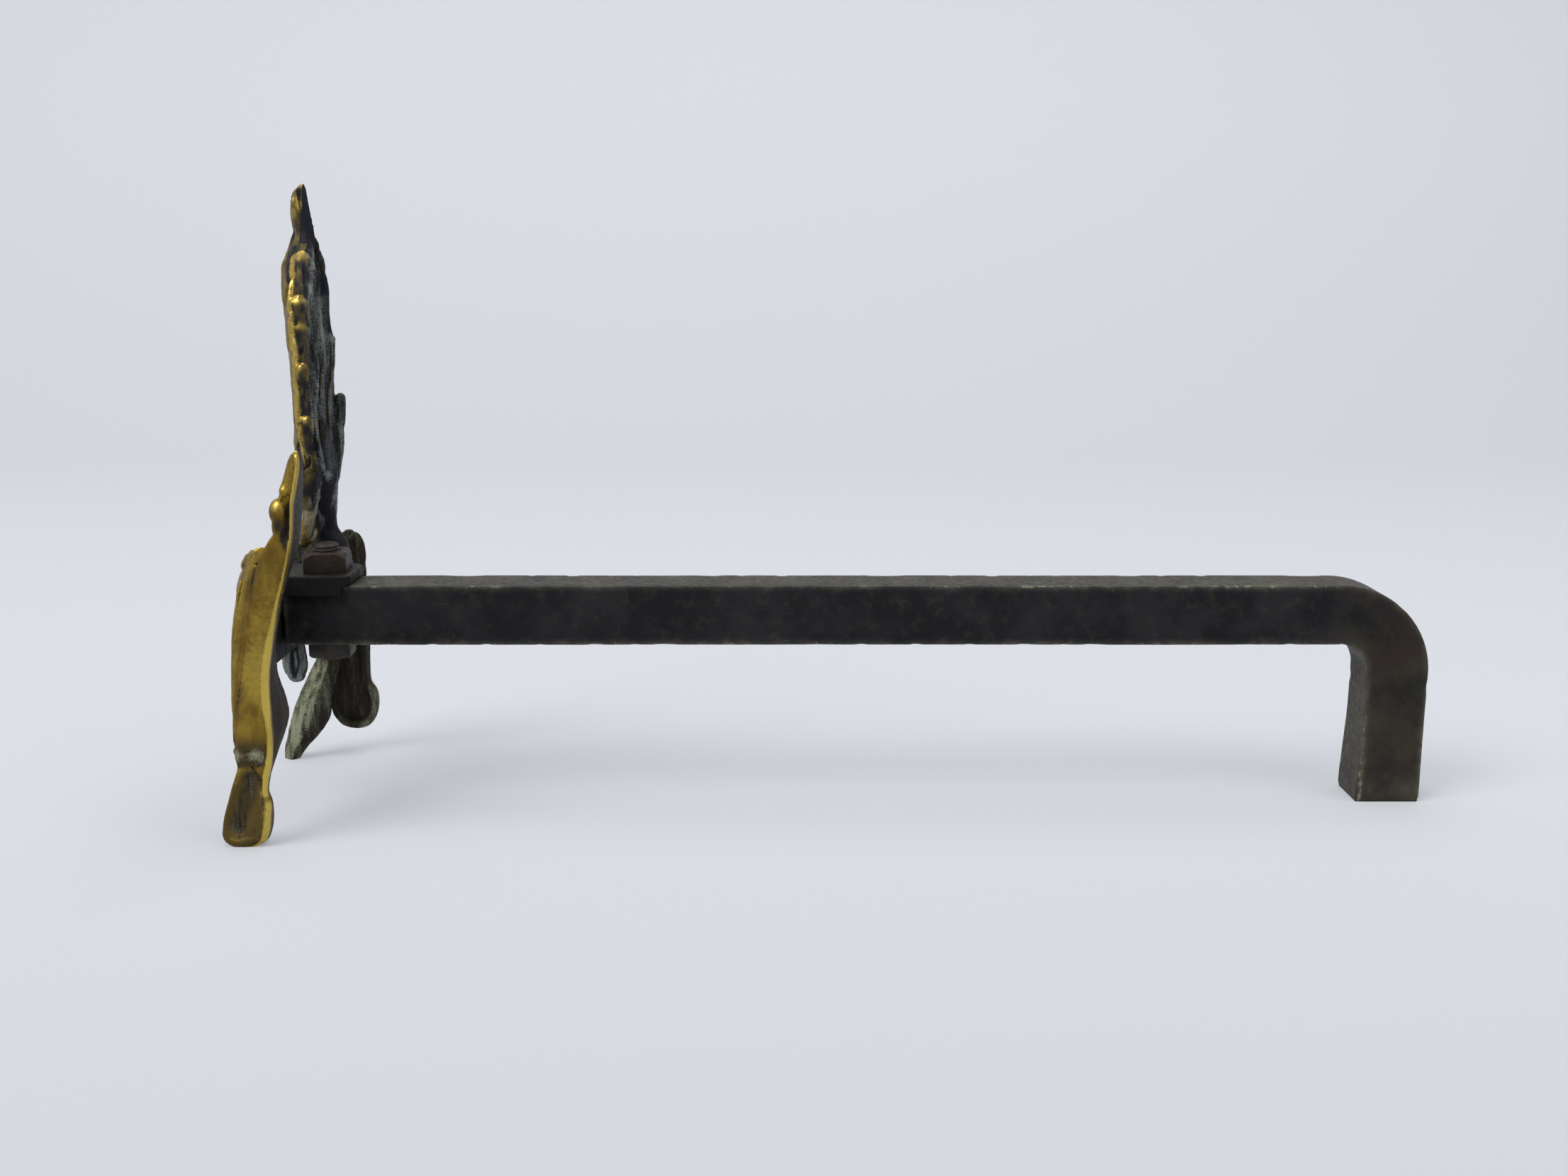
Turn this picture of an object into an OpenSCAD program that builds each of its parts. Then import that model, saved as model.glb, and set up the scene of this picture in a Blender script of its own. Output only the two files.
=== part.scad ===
// Andiron: a forged iron rail on one bent leg, with a cast bronze rococo
// front bolted to its fore end. Z = 0 is the hearth, the rail runs along X,
// the fire side is +X and the room side, where the bronze faces, is -X.
// The origin is the middle of the footprint. All sizes are millimetres.

/* [Rail] */
// Length of the iron rail, fore end to the outside of its bent leg
rail_len = 470; // [300:1:700]
// Height of the rail's section, which is also the thickness of its leg
rail_h = 25; // [18:0.5:34]
// Width of the rail's section
rail_w = 23; // [18:0.5:34]
// Height of the rail's top face above the hearth
rail_top = 92.3; // [84:0.5:96]
// Inside radius of the bend into the leg
bend_r = 12.5; // [6:0.5:30]
// Radius that wear has put on the rail's long edges
edge_wear = 1.2; // [0.4:0.1:3]
// Chamfer around the bottom of the leg
foot_chamfer = 2.5; // [0.5:0.5:5]

/* [Front] */
// Width of the bronze front across its two cheeks
front_w = 132; // [116:1:170]
// Height of the shoulder where the near cheek turns into its leaf
shoulder_h = 112; // [106:1:124]
// How far the bronze stands ahead of the rail's fore end
front_reach = 22; // [18:1:32]
// Thickness of the bronze castings
wall = 4; // [3:0.25:5]
// Height of the plume's tip above the hearth
plume_top = 252.5; // [215:0.5:330]
// Width of the plume across its widest lobes
plume_w = 46; // [34:1:60]
// Width of the space left along each seam of the castings
seam_gap = 0.3; // [0.1:0.05:0.8]

/* [Lug] */
// Thickness of the lug's plate on top of the rail
lug_t = 4.3; // [3:0.1:7]
// Length of the lug's plate along the rail, from the rail's fore end
lug_len = 28; // [27:0.5:44]
// Thickness of the lips that hold the rail between them
lip_t = 3; // [2:0.25:5]
// How far the lips reach down the rail's sides
lip_drop = 3.9; // [2:0.1:8]
// Running space between the lips and the rail
lip_gap = 0.15; // [0.05:0.05:0.6]
// Thickness of the lug's upright flange
flange_t = 4.5; // [3:0.25:6]
// Width of the lug's upright flange
flange_w = 50; // [46:1:60]

/* [Fasteners] */
// Diameter of the clamp bolt
bolt_d = 10; // [8:0.5:12]
// Distance of the clamp bolt from the rail's fore end
bolt_x = 16.3; // [14:0.1:18]
// Width of the square nut and of the bolt's hexagon across their flats
wrench_w = 17; // [14:0.5:18]
// Height of the square nut
nut_h = 8.2; // [5:0.1:11]
// Height of the bolt's hexagonal head
head_h = 7; // [5:0.1:9]
// Length of thread that stands out of the nut
thread_out = 3.4; // [1.5:0.1:8]
// Diameter of the screws that hold the castings together
screw_d = 4; // [3:0.25:4.5]
// Length of the posts on the back of the shell that the legs screw to
post_len = 5; // [3:0.25:6]
// Diameter of the plume's threaded root
root_d = 6; // [5:0.25:7]
// Space between a screw or bolt and the wall of its hole
hole_gap = 0.25; // [0.1:0.05:0.5]

/* [Hidden] */
$fn = 48;

bronze = [0.55, 0.42, 0.18];
iron = [0.16, 0.16, 0.18];
rust = [0.33, 0.24, 0.18];
steel = [0.30, 0.27, 0.24];
// Overshoot of a cut, and the play of a thread in its own tapped hole
cut = 1;
thread_play = 0.01;

// Main places that follow from the sizes above
overall_len = rail_len + front_reach;
fore = front_reach - overall_len / 2;
tail = overall_len / 2;
rail_bottom = rail_top - rail_h;
lug_top = rail_top + lug_t;
side = front_w / 2;
seam_y = side - wall - 0.7 - seam_gap;
// The outlines of the front are drawn at these sizes and follow their ratios
drawn_shoulder = 112;
drawn_reach = 22;
drawn_seam = 61;
drawn_tip = 252.5;
drawn_root = 97;
drawn_plume_w = 46;
drawn_wall = 4;
kz = shoulder_h / drawn_shoulder;
kx = front_reach / drawn_reach;

// ---------------------------------------------------------------- curves

// Index of the stretch of the outline P that holds the place z
function stretch_of(P, z, i = 0) =
    i >= len(P) - 2 || z < P[i + 1][0] ? i : stretch_of(P, z, i + 1);

// Slope of the outline P at its point i
function slope_at(P, i) =
    let (a = max(i - 1, 0), b = min(i + 1, len(P) - 1))
    (P[b][1] - P[a][1]) / (P[b][0] - P[a][0]);

// Smooth value at z of an outline given as [place, value] points
function along(P, z) =
    let (
        i = stretch_of(P, z),
        w = P[i + 1][0] - P[i][0],
        t = min(max((z - P[i][0]) / w, 0), 1),
        m0 = slope_at(P, i) * w,
        m1 = slope_at(P, i + 1) * w
    )
    P[i][1] * (2 * t * t * t - 3 * t * t + 1)
    + m0 * (t * t * t - 2 * t * t + t)
    + P[i + 1][1] * (3 * t * t - 2 * t * t * t)
    + m1 * (t * t * t - t * t);

function mix(a, b, t) = a + (b - a) * t;
function clamp(v) = min(max(v, 0), 1);

// ------------------------------------------------------- faceted solids

// Closed solid between a stack of rings, each drawn anticlockwise seen
// from above, with a flat cap on the first and the last
module skin(rings) {
    n = len(rings[0]);
    m = len(rings);
    sides = [
        for (i = [0:m - 2], j = [0:n - 1])
            let (
                a = i * n + j,
                b = i * n + (j + 1) % n,
                c = (i + 1) * n + (j + 1) % n,
                d = (i + 1) * n + j
            )
            each [[a, d, c], [a, c, b]]
    ];
    low = [for (j = [0:n - 1]) j];
    high = [for (j = [n - 1:-1:0]) (m - 1) * n + j];
    polyhedron([for (r = rings) each r], concat(sides, [low, high]), convexity = 8);
}

// Closed solid between two grids of points, front (-X side) and back,
// both written row by row across Y and from the bottom up within a row
module sheet(front, back) {
    rows = len(front) - 1;
    cols = len(front[0]) - 1;
    n = (rows + 1) * (cols + 1);
    function at(i, j) = i * (cols + 1) + j;
    faces = concat(
        [
            for (i = [0:rows - 1], j = [0:cols - 1])
                each [
                    [at(i + 1, j + 1), at(i, j + 1), at(i, j)],
                    [at(i + 1, j), at(i + 1, j + 1), at(i, j)],
                    [n + at(i, j + 1), n + at(i + 1, j + 1), n + at(i, j)],
                    [n + at(i + 1, j + 1), n + at(i + 1, j), n + at(i, j)]
                ]
        ],
        [
            for (j = [0:cols - 1])
                each [
                    [n + at(0, j + 1), n + at(0, j), at(0, j)],
                    [at(0, j + 1), n + at(0, j + 1), at(0, j)],
                    [n + at(rows, j), n + at(rows, j + 1), at(rows, j)],
                    [n + at(rows, j + 1), at(rows, j + 1), at(rows, j)]
                ]
        ],
        [
            for (i = [0:rows - 1])
                each [
                    [n + at(i, 0), n + at(i + 1, 0), at(i, 0)],
                    [n + at(i + 1, 0), at(i + 1, 0), at(i, 0)],
                    [n + at(i + 1, cols), n + at(i, cols), at(i, cols)],
                    [at(i + 1, cols), n + at(i + 1, cols), at(i, cols)]
                ]
        ]
    );
    polyhedron(concat([for (r = front) each r], [for (r = back) each r]), faces, convexity = 8);
}

// --------------------------------------------------- outlines of the front
// Each is a list of [height, distance behind the rail's fore end].

// Fore edge of the near cheek, foot to leaf tip
near_fore = [
    [0, -10.3], [5, -11.5], [12, -10.2], [23, -6.8], [32, -4.4], [36, -6], [43, -6.9],
    [50, -6.6], [58, -4], [70, -1.1], [86, 1.7], [97, 3.4], [105, 5.4], [112, 8],
    [117.5, 11.5], [120.5, 15.6], [126, 14.6], [132, 13.2], [136.5, 16], [140, 19],
    [146, 20.6], [151, 22.6], [154, 24]
];
// Back edge of the near cheek
near_back = [
    [0, 3.6], [3, 5], [9, 6.3], [17, 7], [22, 6], [28, 6.9], [34, 8.4], [42, 9.1],
    [55, 8.9], [68, 9.2], [81, 11.4], [95, 14.5], [107, 17.9], [115, 19.9], [124, 21.4],
    [134, 22.3], [143, 24.4], [149, 25.6], [154, 25.2]
];
// How far the near cheek's back flange reaches inward from its outer face
near_flange = [
    [0, 8], [8, 8.5], [18, 6], [28, 6], [34, 9.5], [40, 15], [49, 20], [57, 18.5],
    [66, 14.5], [78, 10], [90, 8.5], [104, 9], [112, 14], [118, 16], [124, 16.5], [131, 20],
    [140, 19], [147, 11], [154, 2]
];
// How thick the near cheek is there, as a share of the castings' wall
near_taper = [[0, 1], [130, 1], [142, 0.9], [149, 0.6], [154, 0.2]];
// Hollow (below zero) and swelling of the near cheek's outer face
near_bulge = [
    [0, -0.6], [10, -2], [24, -1.6], [33, 0], [42, 0.8], [60, 0.95], [112, 0.95], [130, 0.95],
    [154, 0]
];
// Lean of the near cheek's back flange toward the fire
near_lean = [[0, 0], [34, 0], [49, 2.2], [66, 0.6], [80, 0], [120, 0], [141, -1.2], [154, 0]];
// Fore and back edges of the far cheek, which hangs clear of the hearth
far_fore = [
    [11.4, 6.4], [12.6, 2.6], [15, 0], [19, -2.3], [26, -2.9], [40, -2.6],
    [60, -2.2], [80, -1], [94, 1], [99, 3], [102.5, 7]
];
far_back = [
    [11.4, 8.6], [12.6, 12.6], [15, 15.9], [20, 18.3], [25, 18.8], [29, 18.2],
    [33, 15.9], [40, 15.5], [50, 15.8], [70, 14.2], [88, 13], [95, 14], [99, 13.6], [102.5, 10]
];
far_taper = [[11.4, 0.3], [16, 0.8], [22, 1], [94, 1], [102.5, 0.35]];
// Depth of the shell's bow across the front at each height
bow_depth = [[28, 3], [45, 5.5], [60, 10], [80, 14.8], [100, 15.7], [118, 15]];
// Heights of the shell's rim and of its lower edge, across from near to far
rim_line = [
    [-61, 116.5], [-52, 113], [-40, 108.2], [-28, 105], [-12, 103], [8, 102.4],
    [28, 102.4], [46, 102], [61, 100.5]
];
hem_line = [
    [-61, 30], [-52, 34.5], [-40, 46.5], [-28, 58.5], [-14, 66.5], [2, 69.2],
    [16, 68], [27, 64], [37, 58.5], [47, 54], [61, 52.5]
];

function near_x(P, z) = fore + kx * along(P, z / kz);
function drop_at(y, P) = kz * along(P, y * drawn_seam / seam_y);

// ------------------------------------------------------------------ shell

shell_rows = 54;
shell_cols = 16;
flute_count = 9;
flute_depth = 1.5;
// Height of the point that the flutes fan out from
fan_low = 30;
// Width of the plain border that the flutes fade out in
flute_border = 14;
// How far the shell stands ahead of the cheeks above its lower tips
shell_stand = 4;

// Front surface of the shell at a place across and up, without its flutes
function shell_x(y, z) =
    let (
        u = (y + seam_y) / (2 * seam_y),
        seam = mix(near_x(near_fore, z), near_x(far_fore, z), u),
        stand = kx * shell_stand * clamp((z / kz - 45) / 15)
    )
    seam - stand - kx * along(bow_depth, z / kz) * sin(180 * u);

// Back surface of the shell, which is smooth
function shell_back(y, z) = shell_x(y, z) + wall + flute_depth / 2;

// Radial flutes of the scallop, which fade out to its plain border
function flute(y, z) =
    let (
        a = atan2(y, z - kz * fan_low),
        edge = clamp((seam_y - abs(y)) / flute_border)
    )
    flute_depth * edge * (0.5 - 0.5 * cos(a * flute_count * 4));

function shell_grid(back) = [
    for (i = [0:shell_rows])
        let (y = mix(-seam_y, seam_y, i / shell_rows))
        [
            for (j = [0:shell_cols])
                let (z = mix(drop_at(y, hem_line), drop_at(y, rim_line), j / shell_cols))
                [back ? shell_back(y, z) : shell_x(y, z) + flute(y, z), y, z]
        ]
];

// ------------------------------------------------------------- fastenings

// Fire side of the lug's upright flange, clear of the rail's fore end
flange_x = fore - 1.5;
flange_fore = flange_x - flange_t;
boss_r = screw_d / 2 + 3;
screw_head_r = screw_d * 0.85;
screw_head_h = screw_d * 0.6;
slot_w = 1;
// How far a boss is rooted in the shell's wall, and its bore sunk in it
boss_root = 1.5;
bore_sink = 1.2;
// Space left under the tip of a screw
tip_space = 0.6;
lug_screw_y = flange_w / 2 - 6.5;
lug_screw_z = rail_top - 8;
ear_t = 3;
ear_h = 10;
leg_screw_y = seam_y - 11;
low_screw_z = 70;
high_screw_z = 91;
leg_screw_heights = [kz * low_screw_z, kz * high_screw_z];

// Fore face of a leg's ear at height z, where it meets the shell's post
function ear_x(s, z) = shell_back(s * leg_screw_y, z) + post_len;

// A post on the back of the shell, from inside its wall to the face x1
module boss(x1, y, z) {
    x0 = shell_back(y, z) - boss_root;
    translate([x0, y, z]) rotate([0, 90, 0]) cylinder(r = boss_r, h = x1 - x0);
}

// The blind bore in that post
module screw_bore(x1, y, z) {
    x0 = shell_back(y, z) - bore_sink;
    translate([x0, y, z]) rotate([0, 90, 0]) cylinder(d = screw_d + thread_play, h = x1 + cut - x0);
}

module shell_front() {
    color(bronze) difference() {
        union() {
            sheet(shell_grid(false), shell_grid(true));
            for (s = [-1, 1]) {
                boss(flange_fore, s * lug_screw_y, lug_screw_z);
                for (z = leg_screw_heights) boss(ear_x(s, z), s * leg_screw_y, z);
            }
        }
        for (s = [-1, 1]) {
            screw_bore(flange_fore, s * lug_screw_y, lug_screw_z);
            for (z = leg_screw_heights) screw_bore(ear_x(s, z), s * leg_screw_y, z);
        }
    }
}

// A slotted cheese-head screw with its head's underside at x, whose thread
// fills the bore behind it but for the space under its tip
module slotted_screw(x, y, z) {
    grip = x - shell_back(y, z) + bore_sink - tip_space;
    translate([x, y, z]) rotate([0, 90, 0]) difference() {
        union() {
            cylinder(r = screw_head_r, h = screw_head_h);
            translate([0, 0, -grip]) cylinder(d = screw_d, h = grip);
        }
        translate([-screw_head_r - cut, -slot_w / 2, screw_head_h - slot_w])
            cube([2 * screw_head_r + 2 * cut, slot_w, slot_w + cut]);
    }
}

module lug_screws() {
    color(steel) for (s = [-1, 1]) slotted_screw(flange_x, s * lug_screw_y, lug_screw_z);
}

module leg_screws(s) {
    color(steel) for (z = leg_screw_heights) slotted_screw(ear_x(s, z) + ear_t, s * leg_screw_y, z);
}

module near_leg_screws() {
    leg_screws(-1);
}

module far_leg_screws() {
    leg_screws(1);
}

// ------------------------------------------------------------------- legs

// Ring of an L-shaped casting: a cheek along X and a flange inward from its
// back edge. s is -1 for the near side, reach is the flange's inward reach
// and t the casting's thickness there.
function cheek_ring(s, z, xf, xb, t, reach, lean, bulge) =
    let (
        k = t / drawn_wall,
        w = xb - xf,
        r = max(reach, t * 1.4),
        tip = min(1.2, w * 0.3),
        outer = [
            [xb + lean - 0.4 * k, r],
            [xb + lean * 0.5 + 0.3 * k, r * 0.6],
            [xb + 0.3 * k, 3.4 * k],
            [xb, 1.9 * k],
            [xb - 0.9 * k, 0.9],
            [xb - w * 0.25, 1 - bulge * 0.75],
            [xb - w * 0.5, 1 - bulge],
            [xb - w * 0.78, 1 - bulge * 0.6],
            [xf + tip, 1.1],
            [xf, 1.3 + 0.9 * k]
        ],
        inner = [
            [xf, t + 0.1],
            [xf + tip, t + 0.7],
            [xb - w * 0.6, t + 0.8 - bulge * 0.8],
            [xb - t - 0.6 * k, t + 0.7],
            [xb - t * 0.75 + lean * 0.3, mix(t, r, 0.5)],
            [xb - t * 0.7 + lean, r - 0.6 * k],
            [xb - t * 0.3 + lean, r + 0.3 * k]
        ],
        loop = concat(outer, inner)
    )
    s > 0
        ? [for (p = loop) [p[0], side - p[1], z]]
        : [for (i = [len(loop) - 1:-1:0]) [loop[i][0], loop[i][1] - side, z]];

// Ear through which a screw pulls the leg against the shell
module leg_ear(s, z) {
    x = ear_x(s, z);
    inner_y = leg_screw_y - boss_r;
    outer_y = side - wall / 2;
    difference() {
        translate([x, s > 0 ? inner_y : -outer_y, z - ear_h / 2])
            cube([ear_t, outer_y - inner_y, ear_h]);
        translate([x - cut, s * leg_screw_y, z]) rotate([0, 90, 0])
            cylinder(d = screw_d + 2 * hole_gap, h = ear_t + 2 * cut);
    }
}

near_high = 154;
near_rings = 50;

module near_scroll_leg() {
    color(bronze) union() {
        skin([
            for (i = [0:near_rings])
                let (z = near_high * i / near_rings)
                cheek_ring(-1, kz * z, near_x(near_fore, kz * z), near_x(near_back, kz * z),
                    wall * along(near_taper, z), along(near_flange, z), along(near_lean, z),
                    along(near_bulge, z))
        ]);
        for (z = leg_screw_heights) leg_ear(-1, z);
    }
}

// Foot strap of the far side: it leaves the cheek's fore edge and swings
// forward and down to the hearth. Half its thickness along X, and how far
// its middle stands in from the cheek's outer face.
foot_path = [[0, -18], [5, -16.6], [11, -13], [19, -9.4], [28, -7.2], [38, -3.6], [50, 0.5]];
foot_half = [[0, 4], [5, 5.4], [11, 7.2], [19, 8.6], [28, 7.8], [38, 6.6], [50, 4.8]];
foot_inset = [[0, 16], [14, 15.5], [28, 13], [40, 9.5], [50, 7]];
foot_half_y = 5.2;
foot_crown = 1.2;
foot_rise = 50;
foot_rings = 18;
foot_sides = 14;

module far_foot() {
    skin([
        for (i = [0:foot_rings])
            let (
                z = foot_rise * i / foot_rings,
                cx = near_x(foot_path, kz * z),
                cy = side - along(foot_inset, z),
                rx = along(foot_half, z)
            )
            [
                for (j = [0:foot_sides - 1])
                    let (a = 360 * j / foot_sides)
                    [cx + rx * cos(a), cy + foot_half_y * sin(a) - foot_crown * cos(a) * cos(a), kz * z]
            ]
    ]);
}

far_low = 11.4;
far_high = 102.5;
far_rings = 36;
far_reach = 8;
far_bulge = 0.95;

module far_scroll_leg() {
    color(bronze) union() {
        skin([
            for (i = [0:far_rings])
                let (z = mix(far_low, far_high, i / far_rings))
                cheek_ring(1, kz * z, near_x(far_fore, kz * z), near_x(far_back, kz * z),
                    wall * along(far_taper, z), far_reach * along(far_taper, z), 0, far_bulge)
        ]);
        far_foot();
        for (z = leg_screw_heights) leg_ear(1, z);
    }
}

// ------------------------------------------------------------------ plume

// Front of the plume's rib, and how far its edges sweep back from it
plume_rib = [
    [103, 2], [112, 3.6], [122, 5.2], [132, 5], [147, 3.6], [160, 5.2], [181, 5.3], [196, 4.8],
    [210, 4.2], [218, 4.4], [224, 6.2], [229, 9.2], [233, 10.4], [237, 9.7], [244, 9.8], [249, 11.4],
    [252.5, 14.2]
];
near_sweep = [
    [103, 1], [122, 3], [132, 8], [147, 11.5], [165, 12.5], [190, 13.5], [212, 13], [222, 10.5],
    [229, 7], [234, 4.2], [240, 2.6], [252.5, 0.2]
];
far_sweep = [
    [103, 1], [122, 4], [132, 8], [147, 12], [165, 9.5], [190, 10], [212, 10.5], [222, 10],
    [229, 6.2], [234, 4], [240, 2.6], [252.5, 0.2]
];
plume_half = [
    [103, 9], [112, 8], [122, 7], [132, 8.5], [147, 15.5], [160, 20.5], [178, 23], [196, 23],
    [210, 21.5], [220, 16.5], [227, 10], [233, 6.2], [240, 5.4], [246, 4.4], [250, 2.8], [252.5, 0.5]
];
// How far the plume's rib stands toward the far side
plume_drift = [[103, 15], [122, 13], [135, 9.5], [150, 4.5], [170, 1.5], [200, 0], [252.5, -2]];
// Thickness at the rib and at the edges
plume_rib_t = [[103, 3.4], [122, 5], [230, 4.6], [240, 5.4], [248, 4.4], [252.5, 1.2]];
plume_edge_t = [[103, 4.6], [122, 4.4], [140, 3], [230, 3], [240, 4], [252.5, 1]];
// Tops of the lobes along the near and the far edge
near_lobes = [124, 146, 162.5, 183.5, 209.5, 226, 240];
far_lobes = [126, 155, 170, 194, 212, 228, 240];
near_notch = 5;
far_notch = 3;
near_curl = 2.6;
// Two of the far side's lobes stand back from its edge
far_curl = [
    [103, 0], [140, 0], [148, -1.4], [155, -1], [161, -3.6], [168, -3.8], [173, 0], [190, 0.6],
    [252.5, 0]
];
fold_depth = 0.9;
plume_low = 105.6;
plume_rows = 16;
plume_cols = 68;

// The plume's outlines are drawn for a tip at one height above its root
function plume_z(h) =
    kz * drawn_root + (h - drawn_root) * (plume_top - kz * drawn_root) / (drawn_tip - drawn_root);
plume_ratio = plume_w / drawn_plume_w;

// Place between two lobe tops, 0 at the lower one and 1 at the upper one
function lobe_place(tops, h, i = 1) =
    h < tops[0] || i >= len(tops) ? 0
    : h < tops[i] ? (h - tops[i - 1]) / (tops[i] - tops[i - 1])
    : lobe_place(tops, h, i + 1);

// How full the leaf's edge is there: 1 on a fingertip, 0 in a notch
function lobe_full(tops, h) = pow(max(sin(180 * pow(lobe_place(tops, h), 1.3)), 0), 0.55);

// Heights between which the lobes fade in above the stem and out below the tip
lobe_start = 124;
lobe_rise = 14;
lobe_end = 236;
lobe_fall = 12;

// How much the lobes count there: not at all on the stem and on the tip
function lobe_share(h) = clamp((lobe_end - h) / lobe_fall) * clamp((h - lobe_start) / lobe_rise);

function plume_point(t, h, back) =
    let (
        full = lobe_full(t < 0 ? near_lobes : far_lobes, h),
        share = lobe_share(h),
        notch = t < 0 ? near_notch : far_notch,
        half = plume_ratio * (along(plume_half, h) - notch * share * (1 - full) * t * t),
        sweep = along(t < 0 ? near_sweep : far_sweep, h) * pow(abs(t), 1.9),
        fold = share * fold_depth * (0.5 - 0.5 * cos(720 * t)),
        curl = (t < 0 ? near_curl : along(far_curl, h)) * share * full * pow(abs(t), 6),
        thick = mix(along(plume_rib_t, h), along(plume_edge_t, h), abs(t)) * wall / drawn_wall,
        x = fore + kx * along(plume_rib, h) + sweep - curl + fold + (back ? thick : 0)
    )
    [x, plume_ratio * (along(plume_drift, h) + half * t), plume_z(h)];

function plume_grid(back) = [
    for (i = [0:plume_rows])
        [
            for (j = [0:plume_cols])
                plume_point(2 * i / plume_rows - 1, mix(plume_low, drawn_tip, j / plume_cols), back)
        ]
];

// Heel on the lug's ear, and the stem from it up into the leaf's hollow back
root_back = 13.5;
root_x = fore + root_back;
root_y = rail_w / 2 + lip_gap + lip_t + root_d / 2 + 3;
stem_path = [[0, 0], [7, -0.4], [12, -1.6], [18, -2.1], [25, -1.5], [35, -0.4], [46, 0.5], [62, 1.5]];
stem_side = [[0, 0], [12, -1], [24, -5], [40, -11], [62, -15]];
stem_r = [
    [0, 5.6], [3, 6.6], [7, 6.8], [11, 6], [14, 4.8], [18, 4.7], [25, 5.4], [35, 6], [46, 5.4],
    [62, 2]
];
stem_flat = 0.85;
stem_rise = 62;
stem_rings = 24;
stem_sides = 16;

module plume_stem() {
    skin([
        for (i = [0:stem_rings])
            let (h = stem_rise * i / stem_rings, r = along(stem_r, h))
            [
                for (j = [0:stem_sides - 1])
                    let (a = 360 * j / stem_sides)
                    [
                        root_x + along(stem_path, h) + r * cos(a),
                        root_y + along(stem_side, h) + stem_flat * r * sin(a),
                        lug_top + h
                    ]
            ]
    ]);
}

root_nut_w = root_d * 5 / 3;
root_nut_h = root_d * 0.8;
root_end = 1.5;
root_hold = 6;

module plume() {
    low = rail_top - root_nut_h - root_end;
    color(bronze) union() {
        sheet(plume_grid(false), plume_grid(true));
        plume_stem();
        translate([root_x, root_y, low]) cylinder(d = root_d, h = lug_top + root_hold - low);
    }
}

module plume_root_nut() {
    color(steel) translate([root_x, root_y, rail_top - root_nut_h]) difference() {
        cylinder(d = root_nut_w / cos(30), h = root_nut_h, $fn = 6);
        translate([0, 0, -cut]) cylinder(d = root_d + thread_play, h = root_nut_h + 2 * cut);
    }
}

// ------------------------------------------------------------------- rail

bend_out = bend_r + rail_h;

// The bar's section, with its long edges rounded by wear
module bar_section() {
    square([rail_h - 2 * edge_wear, rail_w], center = true);
    square([rail_h, rail_w - 2 * edge_wear], center = true);
    for (i = [-1, 1], j = [-1, 1])
        translate([i * (rail_h / 2 - edge_wear), j * (rail_w / 2 - edge_wear)]) circle(r = edge_wear);
}

// A long prism that cuts a chamfer along one bottom edge of the leg
module chamfer_cut(turn, reach) {
    translate([tail - rail_h / 2, 0, 0]) rotate([0, 0, turn]) translate([reach, rail_h + rail_w, 0])
        rotate([90, 0, 0]) linear_extrude(2 * (rail_h + rail_w)) polygon([
            [cut, -cut], [-foot_chamfer - cut, -cut], [cut, foot_chamfer + cut]
        ]);
}

module fire_rail() {
    level = tail - bend_out - fore;
    color(iron) difference() {
        union() {
            translate([fore, 0, rail_top - rail_h / 2]) rotate([0, 90, 0])
                linear_extrude(level) bar_section();
            translate([tail - bend_out, 0, rail_top - bend_out]) rotate([90, 0, 0])
                rotate_extrude(angle = 90) translate([bend_r + rail_h / 2, 0]) bar_section();
            translate([tail - rail_h / 2, 0, 0]) linear_extrude(rail_top - bend_out) bar_section();
        }
        translate([fore + bolt_x, 0, rail_bottom - cut])
            cylinder(d = bolt_d + 2 * hole_gap, h = rail_h + 2 * cut);
        for (a = [0, 180]) chamfer_cut(a, rail_h / 2);
        for (a = [90, 270]) chamfer_cut(a, rail_w / 2);
    }
}

// -------------------------------------------------------------------- lug

lip_out = rail_w / 2 + lip_gap + lip_t;
lip_start = 0.5;
// How far the upright flange hangs below the rail's underside
flange_hang = 6;
flange_low = rail_bottom - flange_hang;
corner_cut = 3.2;
ear_r = root_d / 2 + 4.5;

module lug_plan() {
    polygon([
        [flange_x, -lip_out], [fore + lug_len - corner_cut, -lip_out],
        [fore + lug_len, -lip_out + corner_cut], [fore + lug_len, lip_out - corner_cut],
        [fore + lug_len - corner_cut, lip_out], [flange_x, lip_out]
    ]);
    translate([root_x, root_y]) circle(r = ear_r);
    translate([root_x - ear_r, 0]) square([2 * ear_r, root_y]);
}

module mounting_lug() {
    color(bronze) difference() {
        union() {
            translate([0, 0, rail_top]) linear_extrude(lug_t) lug_plan();
            for (s = [-1, 1])
                translate([fore + lip_start, s > 0 ? lip_out - lip_t : -lip_out, rail_top - lip_drop])
                    cube([lug_len - corner_cut - lip_start, lip_t, lip_drop + lug_t / 2]);
            translate([flange_fore, -flange_w / 2, flange_low])
                cube([flange_t, flange_w, lug_top - flange_low]);
        }
        translate([fore + bolt_x, 0, rail_top - cut])
            cylinder(d = bolt_d + 2 * hole_gap, h = lug_t + 2 * cut);
        translate([root_x, root_y, rail_top - cut])
            cylinder(d = root_d + 2 * hole_gap, h = lug_t + 2 * cut);
        for (s = [-1, 1])
            translate([flange_fore - cut, s * lug_screw_y, lug_screw_z]) rotate([0, 90, 0])
                cylinder(d = screw_d + 2 * hole_gap, h = flange_t + 2 * cut);
        translate([flange_fore - cut, drop_y, drop_rivet_z]) rotate([0, 90, 0])
            cylinder(d = screw_d + thread_play, h = flange_t + 2 * cut);
    }
}

// ------------------------------------------------------------ bolt and nut

bolt_chamfer = 1;

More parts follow.
